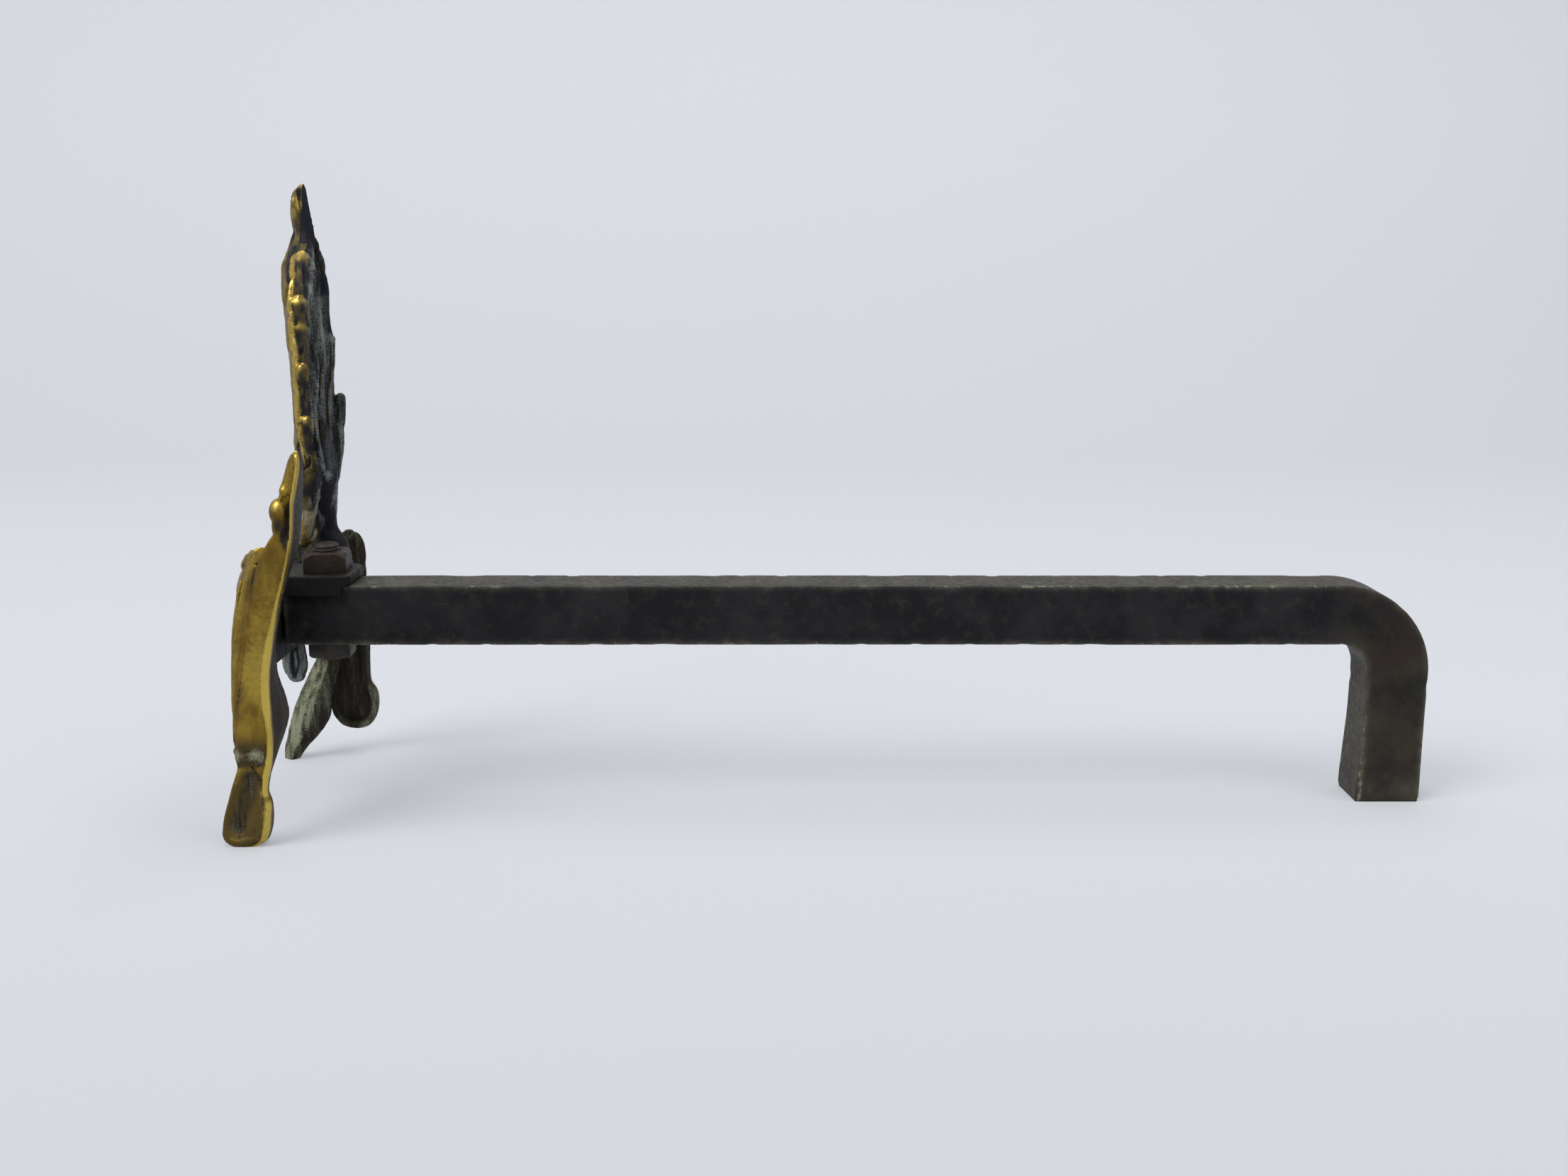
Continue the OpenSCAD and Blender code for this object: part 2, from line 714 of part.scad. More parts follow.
module clamp_bolt() {
    shank = rail_h + lug_t + nut_h + thread_out;
    color(steel) translate([fore + bolt_x, 0, rail_bottom]) union() {
        translate([0, 0, -head_h]) rotate([0, 0, 30])
            cylinder(d = wrench_w / cos(30), h = head_h, $fn = 6);
        rotate_extrude() polygon([
            [0, -head_h / 2], [bolt_d / 2, -head_h / 2], [bolt_d / 2, shank - bolt_chamfer],
            [bolt_d / 2 - bolt_chamfer, shank], [0, shank]
        ]);
    }
}

nut_turn = 6;
nut_ease = 2.5;
nut_corners = wrench_w * sqrt(2);

module clamp_nut() {
    color(rust) translate([fore + bolt_x, 0, lug_top]) rotate([0, 0, nut_turn]) difference() {
        intersection() {
            translate([-wrench_w / 2, -wrench_w / 2, 0]) cube([wrench_w, wrench_w, nut_h]);
            union() {
                cylinder(d = nut_corners, h = nut_h - nut_ease);
                translate([0, 0, nut_h - nut_ease])
                    cylinder(d1 = nut_corners, d2 = nut_corners - 2 * nut_ease, h = nut_ease);
            }
        }
        translate([0, 0, -cut]) cylinder(d = bolt_d + thread_play, h = nut_h + 2 * cut);
    }
}

// ---------------------------------------------------------------- pendant

drop_y = 15;
// Places of its rivet and its tongue's top above the rail's underside
drop_rivet_z = rail_bottom + 2.5;
tongue_top = rail_bottom + 8;
tongue_t = 3;
tongue_w = 12;
drop_low = rail_bottom - 22.5;
drop_rise = 24;
drop_rings = 14;
// Centre, half thickness along X and half width of the drop as it rises
drop_x = [[0, -2.2], [3, -3.2], [8, -3.4], [16, -3.6], [24, -4.8], [32, -7.5]];
drop_thick = [[0, 1.6], [2, 3.6], [5, 4.8], [10, 5.4], [18, 5.2], [25, 3.4], [32, 1.55]];
drop_wide = [[0, 2.5], [1.5, 4.6], [4, 6], [10, 6.8], [20, 6.6], [32, 6]];
// The groove between the drop's two lobes
drop_groove = 1.6;
// Where the drop is cut back for the lug's flange, above its own low end
drop_step = flange_hang - 0.5;

module pendant_drop() {
    color(bronze) difference() {
        union() {
            skin([
                for (i = [0:drop_rings])
                    let (
                        h = drop_rise * i / drop_rings,
                        cx = fore + along(drop_x, h),
                        rx = along(drop_thick, h),
                        ry = along(drop_wide, h)
                    )
                    [
                        for (a = [0:22.5:359])
                            [
                                cx + rx * cos(a) - drop_groove * pow(max(cos(a), 0), 6) * min(1, h / 5),
                                drop_y + ry * sin(a),
                                drop_low + h
                            ]
                    ]
            ]);
            translate([flange_fore - tongue_t, drop_y - tongue_w / 2, flange_low - 1])
                cube([tongue_t, tongue_w, tongue_top - flange_low + 1]);
        }
        translate([flange_fore - tongue_t - cut, drop_y, drop_rivet_z]) rotate([0, 90, 0])
            cylinder(d = screw_d + thread_play, h = tongue_t + 2 * cut);
        translate([flange_fore, drop_y - tongue_w, flange_low - 0.5])
            cube([2 * tongue_w, 2 * tongue_w, tongue_top]);
    }
}

rivet_head_h = 1.4;

module pendant_rivet() {
    color(bronze) translate([flange_fore - tongue_t, drop_y, drop_rivet_z]) rotate([0, 90, 0]) union() {
        cylinder(d = screw_d, h = flange_t + tongue_t);
        translate([0, 0, -rivet_head_h]) cylinder(d1 = screw_d + 0.8, d2 = screw_d + 3, h = rivet_head_h);
    }
}

fire_rail();
mounting_lug();
clamp_bolt();
clamp_nut();
shell_front();
near_scroll_leg();
far_scroll_leg();
pendant_drop();
plume();
plume_root_nut();
lug_screws();
near_leg_screws();
far_leg_screws();
pendant_rivet();
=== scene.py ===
"""Andiron: the looks of its forged rail and of its cast bronze front.

Lengths are millimetres, and places are (f, y, z): f runs from the rail's fore
end toward the fire (+X), y across the andiron, z up from the hearth. Outlines
are (height, value) pairs, unless they say otherwise. A cast piece starts as
closed forms that a voxel remesh melts together. Its relief function says how
far each point is then carved out or in, and its marking function gives the
numbers that its material reads there: wear, soot and verdigris, and on the
legs and the plume also painted highlights, painted shade and painted lit sides.
"""

import math

import bpy
import numpy as np
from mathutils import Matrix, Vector


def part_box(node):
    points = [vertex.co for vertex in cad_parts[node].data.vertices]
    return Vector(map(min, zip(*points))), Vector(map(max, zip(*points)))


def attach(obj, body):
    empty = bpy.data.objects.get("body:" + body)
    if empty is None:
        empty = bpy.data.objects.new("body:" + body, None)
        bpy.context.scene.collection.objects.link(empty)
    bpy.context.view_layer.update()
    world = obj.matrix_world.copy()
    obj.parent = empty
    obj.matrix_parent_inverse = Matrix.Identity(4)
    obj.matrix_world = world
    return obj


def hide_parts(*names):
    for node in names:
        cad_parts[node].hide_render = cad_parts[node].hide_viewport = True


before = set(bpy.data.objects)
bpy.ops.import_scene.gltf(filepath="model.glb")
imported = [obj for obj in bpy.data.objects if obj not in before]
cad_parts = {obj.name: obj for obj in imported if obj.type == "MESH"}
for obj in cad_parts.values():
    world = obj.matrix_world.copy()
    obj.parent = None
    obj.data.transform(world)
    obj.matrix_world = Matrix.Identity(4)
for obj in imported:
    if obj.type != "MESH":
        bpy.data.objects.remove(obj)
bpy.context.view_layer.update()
MM = 0.001
# How far softening draws a piece's skin in
SOFTENING_LOSS = 0.1


def box_mm(node):
    """Lowest and highest corner of a CAD node, in millimetres."""
    low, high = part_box(node)
    return np.array(low) / MM, np.array(high) / MM


RAIL_LOW, RAIL_HIGH = box_mm("fire_rail")
FORE = RAIL_LOW[0]
LENGTH = RAIL_HIGH[0] - FORE
RAIL_TOP = RAIL_HIGH[2]
RAIL_W = RAIL_HIGH[1] - RAIL_LOW[1]
SIDE = -box_mm("near_scroll_leg")[0][1]
SEAM_Y = box_mm("shell_front")[1][1]
LUG_TOP = box_mm("mounting_lug")[1][2]
ROOT_LOW = box_mm("plume")[0][2]
# What the boxes don't tell is typed as the CAD has it
RAIL_H = 25.0
RAIL_BOTTOM = RAIL_TOP - RAIL_H
ARRIS_R = 0.8
BEND_R = 12.5
BEND_OUT = BEND_R + RAIL_H
WALL = 4.0
FLANGE_FORE = -6.0
BOLT_X = 16.3
BOLT_D = 10.0
BORE_PLAY = 0.25
THREAD_PITCH = 1.5
THREAD_DEEP = 0.4
THREAD_RUN = 6
CHAMFER = 1.1
ROOT_X = 13.5
ROOT_Y = 20.65
SCREW_HEAD = 2.4
SCREW_INSET = 3.4
EAR_DEEP = 3.0
EAR_WIDE = 17.5
EAR_TALL = 10.0


def add_object(name, data):
    """A new object in the scene."""
    obj = bpy.data.objects.new(name, data)
    bpy.context.scene.collection.objects.link(obj)
    return obj


# ---------------------------------------------------------------- camera

CAMERA_AT = (-0.01936, -0.6782, 0.22857)
CAMERA_DOWN = 0.203
CAMERA_LENS = 38.39
CAMERA_SENSOR = 36


def add_camera():
    """The camera at the photograph's viewing angle."""
    data = bpy.data.cameras.new("camera")
    data.sensor_width = CAMERA_SENSOR
    data.lens = CAMERA_LENS
    camera = add_object("camera", data)
    camera.location = CAMERA_AT
    camera.rotation_euler = (math.pi / 2 - CAMERA_DOWN, 0, 0)
    bpy.context.scene.camera = camera


# ---------------------------------------------------------------- curves


def along(outline, at):
    """Smooth value at each place of an outline given as (place, value) pairs."""
    place, value = np.array(outline, float).T
    at = np.clip(np.asarray(at, float), place[0], place[-1])
    i = np.clip(np.searchsorted(place, at, side="right") - 1, 0, len(place) - 2)
    k = np.arange(len(place))
    low = np.maximum(k - 1, 0)
    high = np.minimum(k + 1, len(place) - 1)
    slope = (value[high] - value[low]) / (place[high] - place[low])
    w = place[i + 1] - place[i]
    t = (at - place[i]) / w
    return (
        value[i] * (2 * t**3 - 3 * t**2 + 1)
        + slope[i] * w * (t**3 - 2 * t**2 + t)
        + value[i + 1] * (3 * t**2 - 2 * t**3)
        + slope[i + 1] * w * (t**3 - t**2)
    )


def places(*axes):
    """Points from their coordinates, where one number may stand for many."""
    return np.stack(np.broadcast_arrays(*axes), -1)


def spline(points, count):
    """Points evenly spaced along a smooth curve through the given ones."""
    points = np.array(points, float)
    step = np.linalg.norm(np.diff(points, axis=0), axis=1)
    run = np.concatenate([[0], np.cumsum(step)])
    at = np.linspace(0, run[-1], count)
    return np.stack([along(places(run, axis), at) for axis in points.T], 1)


def circle(sides, start=0.0):
    """Cosines and sines of a ring's corners."""
    turn = np.linspace(0, 2 * math.pi, sides, endpoint=False) + start
    return np.cos(turn), np.sin(turn)


def mix(a, b, t):
    return a + (b - a) * t


def polygon(corners, steps):
    """Points round a polygon, each side in equal steps."""
    share = np.linspace(0, 1, steps, endpoint=False)
    return [mix(a, b, t) for a, b in zip(corners, corners[1:] + corners[:1]) for t in share]


def ease(x, low, high):
    """0 below low, 1 above high, smooth between."""
    t = np.clip((x - low) / (high - low), 0, 1)
    return t * t * (3 - 2 * t)


def bell(x, centre, width):
    """1 at the centre, falling to 0 about width away from it."""
    return np.exp(-(((x - centre) / width) ** 2))


def most(*shares):
    """The largest of several shares at each point."""
    return np.maximum.reduce(shares)


def noise(points, grain, seed):
    """Smooth noise from -1 to 1 whose lumps are about grain mm wide."""
    table = np.random.default_rng(seed).uniform(-1, 1, (32, 32, 32))
    q = np.asarray(points, float) / grain
    base = np.floor(q).astype(int)
    t = q - base
    t = t * t * (3 - 2 * t)
    total = np.zeros(len(q))
    for corner in np.ndindex(2, 2, 2):
        weight = np.prod(np.where(corner, t, 1 - t), axis=1)
        i, j, k = ((base + corner) % 32).T
        total += weight * table[i, j, k]
    return total


def streaks(points, squeeze, grain, seed):
    """Noise drawn out upward."""
    return noise(points * [1, 1, squeeze], grain, seed)


def dents(points, *layers):
    """Noises one on another, each given as (depth, grain, seed)."""
    return sum(depth * noise(points, grain, seed) for depth, grain, seed in layers)


def reach(points, curve):
    """Distance from each point to the nearest point of a curve."""
    best = np.full(len(points), 1e9)
    for q in curve:
        best = np.minimum(best, ((points - q) ** 2).sum(1))
    return np.sqrt(best)


def near_curve(points, curve, width, power=2):
    """1 on a curve, falling to 0 about width away from it."""
    return np.exp(-((reach(points, curve) / width) ** power))


def spot(points, centre, size):
    """1 at a place, falling to 0 about size away from it along each axis."""
    return np.exp(-(((points - centre) / size) ** 2).sum(1))


# ---------------------------------------------------------- closed forms


def ring_skin(rings):
    """Closed skin over a stack of rings, as (points, faces)."""
    m, n = rings.shape[:2]
    index = np.arange(m * n).reshape(m, n)
    turned = np.roll(index, -1, axis=1)
    quads = np.stack([index[:-1], turned[:-1], turned[1:], index[1:]], -1).reshape(-1, 4)
    faces = [tuple(q) for q in quads.tolist()]
    faces.append(tuple(index[0][::-1].tolist()))
    faces.append(tuple(index[-1].tolist()))
    return rings.reshape(-1, 3), faces


def tube(points, radii, count=24, sides=14, deep=1.0):
    """Round-ended tube along a curve. The radii are spread evenly along it,
    and deep squeezes it square to Y."""
    path = spline(points, count)
    radius = along(places(np.linspace(0, 1, len(radii)), radii), np.linspace(0, 1, count))
    heading = np.gradient(path, axis=0)
    heading /= np.linalg.norm(heading, axis=1)[:, None]
    across = np.array([0.0, 1.0, 0.0]) - heading * heading[:, 1:2]
    across /= np.linalg.norm(across, axis=1)[:, None]
    other = np.cross(heading, across)
    caps = np.array([0.0, 0.5, 0.8, 0.95])
    out = np.sqrt(1 - caps * caps)[:, None]
    start = path[0] - heading[0] * radius[0] * out
    stop = path[-1] + heading[-1] * radius[-1] * out[::-1]
    path = np.concatenate([start, path, stop])[:, None]
    radius = np.concatenate([caps * radius[0] + 0.02, radius, caps[::-1] * radius[-1] + 0.02])[:, None]
    longer = ((len(caps), len(caps)), (0, 0))
    across = np.pad(across, longer, "edge")[:, None]
    other = np.pad(other, longer, "edge")[:, None]
    cos, sin = circle(sides)
    return ring_skin(path + (radius * cos)[..., None] * across + (deep * radius * sin)[..., None] * other)


def tubes(*parts):
    return [tube(*part) for part in parts]


def ball(centre, radii):
    """Closed ellipsoid."""
    down = np.linspace(0.02, math.pi - 0.02, 14)[:, None]
    cos, sin = circle(20)
    unit = places(np.sin(down) * cos, np.sin(down) * sin, -np.cos(down))
    return ring_skin(np.array(centre, float) + unit * np.array(radii, float))


def block(f, y, z, levels):
    """Box between two places along each axis."""
    ring = [(f[0], y[0]), (f[1], y[0]), (f[1], y[1]), (f[0], y[1])]
    return ring_skin(np.array([[(*corner, height) for corner in ring] for height in np.linspace(*z, levels)]))


def two_sided(front, back):
    """Closed plate between two grids of points of one shape."""
    rows, cols = front.shape[:2]
    n = rows * cols
    a = np.arange(n).reshape(rows, cols)
    b = a + n
    face = np.stack([a[:-1, :-1], a[1:, :-1], a[1:, 1:], a[:-1, 1:]], -1).reshape(-1, 4)
    rear = np.stack([b[:-1, :-1], b[:-1, 1:], b[1:, 1:], b[1:, :-1]], -1).reshape(-1, 4)
    loop = np.concatenate([a[:, 0], a[-1, 1:], a[-2::-1, -1], a[0, -2:0:-1]])
    after = np.roll(loop, -1)
    rim = np.stack([after, loop, loop + n, after + n], -1)
    faces = [tuple(q) for q in np.concatenate([face, rear, rim]).tolist()]
    return np.concatenate([front.reshape(-1, 3), back.reshape(-1, 3)]), faces


def joined(forms):
    """Several forms as one."""
    faces = []
    count = 0
    for points, form_faces in forms:
        faces += [tuple(i + count for i in face) for face in form_faces]
        count += len(points)
    return np.concatenate([points for points, _ in forms]), faces


# --------------------------------------------------------------- meshes


def new_object(name, points, faces):
    """Mesh object from points (f, y, z)."""
    mesh = bpy.data.meshes.new(name)
    placed = (points + [FORE, 0, 0]) * MM
    mesh.from_pydata(placed.tolist(), [], faces)
    mesh.validate()
    return add_object(name, mesh)


def apply_modifiers(obj):
    """Turns what the modifiers show into the object's own mesh."""
    shown = obj.evaluated_get(bpy.context.evaluated_depsgraph_get())
    mesh = bpy.data.meshes.new_from_object(shown)
    old = obj.data
    obj.modifiers.clear()
    obj.data = mesh
    bpy.data.meshes.remove(old)


def melt(obj, voxel, relax):
    """Joins overlapping closed forms into one cast skin and softens it."""
    remesh = obj.modifiers.new("remesh", "REMESH")
    remesh.mode = "VOXEL"
    remesh.voxel_size = voxel * MM
    remesh.use_smooth_shade = True
    soften = obj.modifiers.new("soften", "SMOOTH")
    soften.factor = 0.5
    soften.iterations = relax
    apply_modifiers(obj)


def smooth(obj):
    obj.data.polygons.foreach_set("use_smooth", [True] * len(obj.data.polygons))
    obj.data.update()


def thin_out(obj, keep):
    """Drops the faces that the shape doesn't need."""
    obj.modifiers.new("fewer", "DECIMATE").ratio = keep
    apply_modifiers(obj)
    smooth(obj)


def surface(obj):
    """The mesh's points (f, y, z) and its normals."""
    values = []
    for key in ("co", "normal"):
        flat = np.empty(len(obj.data.vertices) * 3)
        obj.data.vertices.foreach_get(key, flat)
        values.append(flat.reshape(-1, 3))
    return values[0] / MM - [FORE, 0, 0], values[1]


def move_to(obj, points):
    placed = (points + [FORE, 0, 0]) * MM
    obj.data.vertices.foreach_set("co", placed.ravel())
    obj.data.update()


def carve(obj, depth):
    """Moves the surface out along its normals by depth(points, normals)."""
    points, normals = surface(obj)
    move_to(obj, points + normals * depth(points, normals)[:, None])


def keep_within(obj, low, high):
    """Brings every point inside a box."""
    move_to(obj, np.clip(surface(obj)[0], low, high))


def cast(name, forms, relief, voxel=0.5, side=SIDE - 0.1, keep=0.5):
    """One cast piece out of closed forms, carved by relief(points, normals),
    standing on the hearth and kept within side of the middle."""
    obj = new_object(name, *joined(forms))
    melt(obj, voxel, relax=2)
    carve(obj, relief)
    keep_within(obj, [-np.inf, -side, 0], [np.inf, side, np.inf])
    thin_out(obj, keep)
    return obj


def softened(node, name, layers, voxel, relax, keep):
    """A new piece from a CAD node's shape, its edges softened and its faces dented."""
    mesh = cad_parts[node].data.copy()
    mesh.name = name
    obj = add_object(name, mesh)
    melt(obj, voxel, relax)
    carve(obj, lambda p, n: dents(p, *layers) + SOFTENING_LOSS)
    thin_out(obj, keep)
    return obj


def paint(obj, **layers):
    """Stores numbers from 0 to 1 at each point of the mesh for its material."""
    for name, values in layers.items():
        values = np.broadcast_to(np.clip(values, 0, 1), len(obj.data.vertices))
        layer = obj.data.attributes.new(name, "FLOAT", "POINT")
        layer.data.foreach_set("value", values.astype(np.float32))


def coat(obj, material):
    obj.data.materials.clear()
    obj.data.materials.append(material)


def finish_piece(obj, surface_marks, material, node):
    """Paints a piece with the numbers that its marking function gives at its
    points and normals, for wear and patina and in places for painted light and
    shade, and puts it in its CAD node's place."""
    paint(obj, **surface_marks(*surface(obj)))
    coat(obj, material)
    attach(obj, "root")
    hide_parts(node)


# ------------------------------------------------------------- materials


class Nodes:
    """Short calls that add nodes to a material or a world and link them."""

    def __init__(self, owner):
        owner.use_nodes = True
        self.owner = owner
        self.tree = owner.node_tree

    def feed(self, node, sockets):
        """Links sources to a node's sockets, and sets plain numbers and colours on them."""
        for key, source in sockets.items():
            socket = node.inputs[key]
            if isinstance(source, bpy.types.NodeSocket):
                self.tree.links.new(source, socket)
            elif socket.type == "RGBA":
                socket.default_value = (*source, 1.0)
            else:
                socket.default_value = source

    def add(self, kind, sockets=None, **settings):
        node = self.tree.nodes.new("ShaderNode" + kind)
        for key, value in settings.items():
            setattr(node, key, value)
        self.feed(node, sockets or {})
        return node

    def math(self, kind, a, b, clamp=False):
        return self.add("Math", {0: a, 1: b}, operation=kind, use_clamp=clamp).outputs[0]

    def plus(self, total, *terms):
        for term in terms:
            total = self.math("ADD", total, term)
        return total

    def less(self, a, b, clamp=False):
        return self.math("SUBTRACT", a, b, clamp)

    def times(self, a, b):
        return self.math("MULTIPLY", a, b)

    def mottle(self, pattern, share):
        """A pattern from 0 to 1, centred on 0 and scaled by share."""
        return self.times(self.less(pattern, 0.5), share)

    def span(self, value, low, high, to_low=0.0, to_high=1.0):
        """to_low where a value is below low, to_high above high, smooth between."""
        sockets = {"Value": value, "From Min": low, "From Max": high, "To Min": to_low, "To Max": to_high}
        return self.add("MapRange", sockets, interpolation_type="SMOOTHSTEP").outputs["Result"]

    def blend(self, share, a, b):
        return self.add("Mix", {"Factor": share, 6: a, 7: b}, data_type="RGBA").outputs[2]

    def background_ray(self):
        """1 for the rays that show the background, straight or through metal and glass."""
        path = self.add("LightPath").outputs
        either = self.math("MAXIMUM", path["Is Camera Ray"], path["Is Glossy Ray"])
        return self.math("MAXIMUM", either, path["Is Transmission Ray"])

    def choose(self, share, shader, other, output):
        """Sends a mix of two shaders to the output."""
        both = self.add("MixShader", {0: share, 1: shader.outputs[0], 2: other.outputs[0]})
        self.feed(self.tree.nodes[output], {"Surface": both.outputs[0]})


class Material(Nodes):
    """A new material with its shader and with patterns that lie in the object."""

    def __init__(self, name):
        super().__init__(bpy.data.materials.new(name))
        self.shader = self.tree.nodes["Principled BSDF"]
        self.where = self.add("TexCoord").outputs["Object"]

    def stored(self, name):
        return self.add("Attribute", attribute_name=name).outputs["Fac"]

    def noise(self, scale, detail=3.0, rough=0.55, stretch=None):
        where = self.where
        if stretch:
            where = self.add("Mapping", {"Vector": where, "Scale": stretch}).outputs["Vector"]
        sockets = {"Vector": where, "Scale": scale, "Detail": detail, "Roughness": rough}
        return self.add("TexNoise", sockets).outputs["Fac"]

    def finish(self, colour, specular, metal, rough, height, distance):
        bump = self.add("Bump", {"Strength": 0.6, "Distance": distance, "Height": height})
        sockets = {
            "Base Color": colour,
            "Specular IOR Level": specular,
            "Metallic": metal,
            "Roughness": rough,
            "Normal": bump.outputs["Normal"],
        }
        self.feed(self.shader, sockets)
        return self.owner


def bronze(name, ochre, ochre_dark, gold, dark, bloom_and_lit_side):
    """Aged bronze. Stored numbers say where it is rubbed bright and where a
    highlight is painted on, where it is sooty and where shade is painted on,
    and where verdigris has bloomed and where a lit side is painted paler."""
    n = Material(name)
    blotch = n.noise(80, 4)
    fine = n.noise(620)
    streak = n.noise(300, 4, 0.65, (1, 1, 0.16))
    grain = n.noise(1500, 2)
    brown = n.noise(135, 5, 0.65, (1, 1, 0.6))
    pointed = n.add("NewGeometry").outputs["Pointiness"]
    soot_and_shade = n.stored("dark")
    body = n.blend(n.span(blotch, 0.36, 0.68), ochre_dark, ochre)
    body = n.blend(n.span(streak, 0.5, 0.74, 0, 0.5), body, ochre_dark)
    body = n.blend(n.span(brown, 0.5, 0.66, 0, 0.55), body, n.blend(0.35, ochre_dark, dark))

    brightening = n.plus(n.stored("gold"), n.span(pointed, 0.51, 0.58, 0, 0.35), n.mottle(fine, 0.45))
    brightening = n.times(n.span(brightening, 0.1, 1.05), n.span(soot_and_shade, 0.4, 1.0, 1, 0.2))
    body = n.blend(brightening, body, gold)

    # Darker where the stored number says, which is soot and painted shade, and in concave places
    darkening = n.plus(soot_and_shade, n.span(pointed, 0.44, 0.495, 0.8, 0), n.mottle(blotch, 0.7))
    darkening = n.less(n.span(darkening, 0.1, 0.8), n.times(brightening, 0.6), True)
    body = n.blend(darkening, body, dark)

    speck = n.add("TexVoronoi", {"Vector": n.where, "Scale": 560}).outputs["Distance"]
    pit = n.times(n.span(speck, 0.08, 0.2, 1, 0), n.span(streak, 0.52, 0.68))
    body = n.blend(n.times(pit, 0.7), body, dark)

    # Bloom, and the lit sides painted paler with it, lie in long streaks, and close up where there is much of
    # them
    much = n.stored("bloom_and_lit_side")
    pale = n.plus(n.times(much, 0.36), streak, n.mottle(grain, 0.5))
    pale = n.times(n.span(pale, 0.52, 0.88), n.span(much, 0.0, 0.6))
    body = n.blend(n.times(pale, 0.85), body, bloom_and_lit_side)

    metal = n.less(n.less(0.95, n.times(darkening, 0.85)), n.times(pale, 0.9), True)
    rough = n.plus(n.span(fine, 0.3, 0.7, 0.34, 0.5), n.times(brightening, -0.1), n.times(darkening, 0.12))
    rough = n.plus(rough, n.times(pale, 0.3))
    height = n.less(n.plus(n.times(fine, 0.6), n.times(grain, 0.25)), n.times(pit, 0.3))
    return n.finish(body, 0.07, metal, rough, height, 0.00045)


def iron(name, base, base_light, worn, brown, red):
    """Forged iron: mottled scale, with stored numbers worn for its rubbed
    arrises and rust for the brown stretches."""
    n = Material(name)
    blotch = n.noise(45, 5, 0.6)
    fine = n.noise(420, 4, 0.6)
    grain = n.noise(1300, 2)
    patch = n.noise(160, 5, 0.7)
    cloud = n.noise(58, 4, 0.6, (1, 1, 0.7))
    scratch = n.noise(700, 2, 0.5, (0.06, 1, 1))
    brightening = n.stored("worn")
    body = n.blend(n.span(blotch, 0.4, 0.66), base, base_light)
    body = n.blend(n.span(patch, 0.5, 0.74, 0, 0.55), body, brown)
    rust = n.plus(n.stored("rust"), n.mottle(blotch, 1.6))
    body = n.blend(n.span(rust, 0.2, 0.95, 0, 0.95), body, n.blend(n.span(cloud, 0.4, 0.6), brown, red))
    fleck = n.times(n.span(n.plus(brightening, n.mottle(fine, 2.2)), 0.62, 1.1), brightening)
    rubbing = n.times(brightening, n.span(patch, 0.35, 0.7, 0.14, 0.4))
    mark = n.times(n.span(scratch, 0.69, 0.76), n.span(blotch, 0.55, 0.65, 0, 0.2))
    for share in (fleck, rubbing, mark):
        body = n.blend(share, body, worn)
    metal = n.plus(n.times(fleck, 0.5), 0.06)
    rough = n.plus(n.span(fine, 0.3, 0.7, 0.42, 0.62), n.times(fleck, -0.12))
    return n.finish(body, 0.16, metal, rough, n.plus(n.times(fine, 0.7), n.times(grain, 0.3)), 0.00022)


# ------------------------------------------------------------------- legs

NEAR_HIGH = 154
NEAR_FORE = [
    (0, -9.0), (1.2, -11.4), (3, -12.5), (5.5, -12.8), (12, -11.4), (23, -8), (29, -5.9),
    (32, -5.2), (36, -5.8), (43, -5.2), (49, -4.3), (53, -3.6), (57, -3.2), (61, -2.6), (70, -1.1),
    (86, 1.7), (97, 3.4), (105, 5.4), (112, 8), (117.5, 10.6), (120.5, 12.6), (124, 15), (132, 16),
    (136.5, 17), (140, 19), (146, 20.6), (151, 22.6), (NEAR_HIGH, 24),
]
NEAR_BACK = [
    (0, 0.6), (1.2, 3.0), (3, 4.7), (9, 6.3), (17, 7), (22, 6), (28, 6.9), (34, 8.4), (42, 9.1), (55, 8.9),
    (68, 9.2), (81, 11.4), (95, 14.5), (107, 17.9), (115, 19.9), (124, 21.4), (134, 22.3), (143, 24.4),
    (149, 25.6), (NEAR_HIGH, 25.2),
]
# How far the inner flange reaches, the share of the full wall, how far the
# flange leans back, and how far the face bulges
NEAR_FLANGE = [
    (0, 8), (8, 8.5), (18, 6), (28, 6), (34, 9.5), (40, 15), (49, 20), (57, 18.5), (66, 14.5), (78, 10),
    (90, 8.5), (104, 9), (112, 14), (118, 16), (124, 16.5), (131, 20), (140, 19), (147, 11), (NEAR_HIGH, 2),
]
NEAR_TAPER = [(0, 1), (130, 1), (142, 0.9), (149, 0.6), (NEAR_HIGH, 0.2)]
NEAR_LEAN = [(0, 0), (34, 0), (49, 2.2), (66, 0.6), (80, 0), (120, 0), (141, -1.2), (NEAR_HIGH, 0)]
NEAR_BULGE = [
    (0, -0.2), (24, -0.2), (33, 0), (42, 0.6), (60, 0.8), (108, 0.8), (116, -0.2), (123, -1.6), (136, -1.6),
    (142, -0.4), (NEAR_HIGH, 0),
]
# Half width of the rolled ridge on the back edge, and how bright it is, rubbed gilt with a painted highlight
RIDGE_R = [
    (0, 1.2), (14, 1.3), (24, 1.2), (34, 1.1), (42, 0.85), (50, 0.9), (58, 1.3), (76, 1.3), (90, 0.75),
    (100, 0.6), (118, 0.5), (134, 0.5), (142, 0.6), (152, 0.7),
]
RIDGE_GOLD = [(0, 0.55), (20, 1), (36, 1), (44, 0.7), (56, 1), (84, 0.85), (100, 0.6), (NEAR_HIGH, 0.6)]
# The shell follows the cheek's edge from the ankle to the shoulder
NEAR_SEAM = NEAR_FORE[4:6] + NEAR_FORE[7:19] + [(117.5, 11.5)]
# The near cheek's lines are drawn on a plane just inside its outer face
FACE_Y = -65

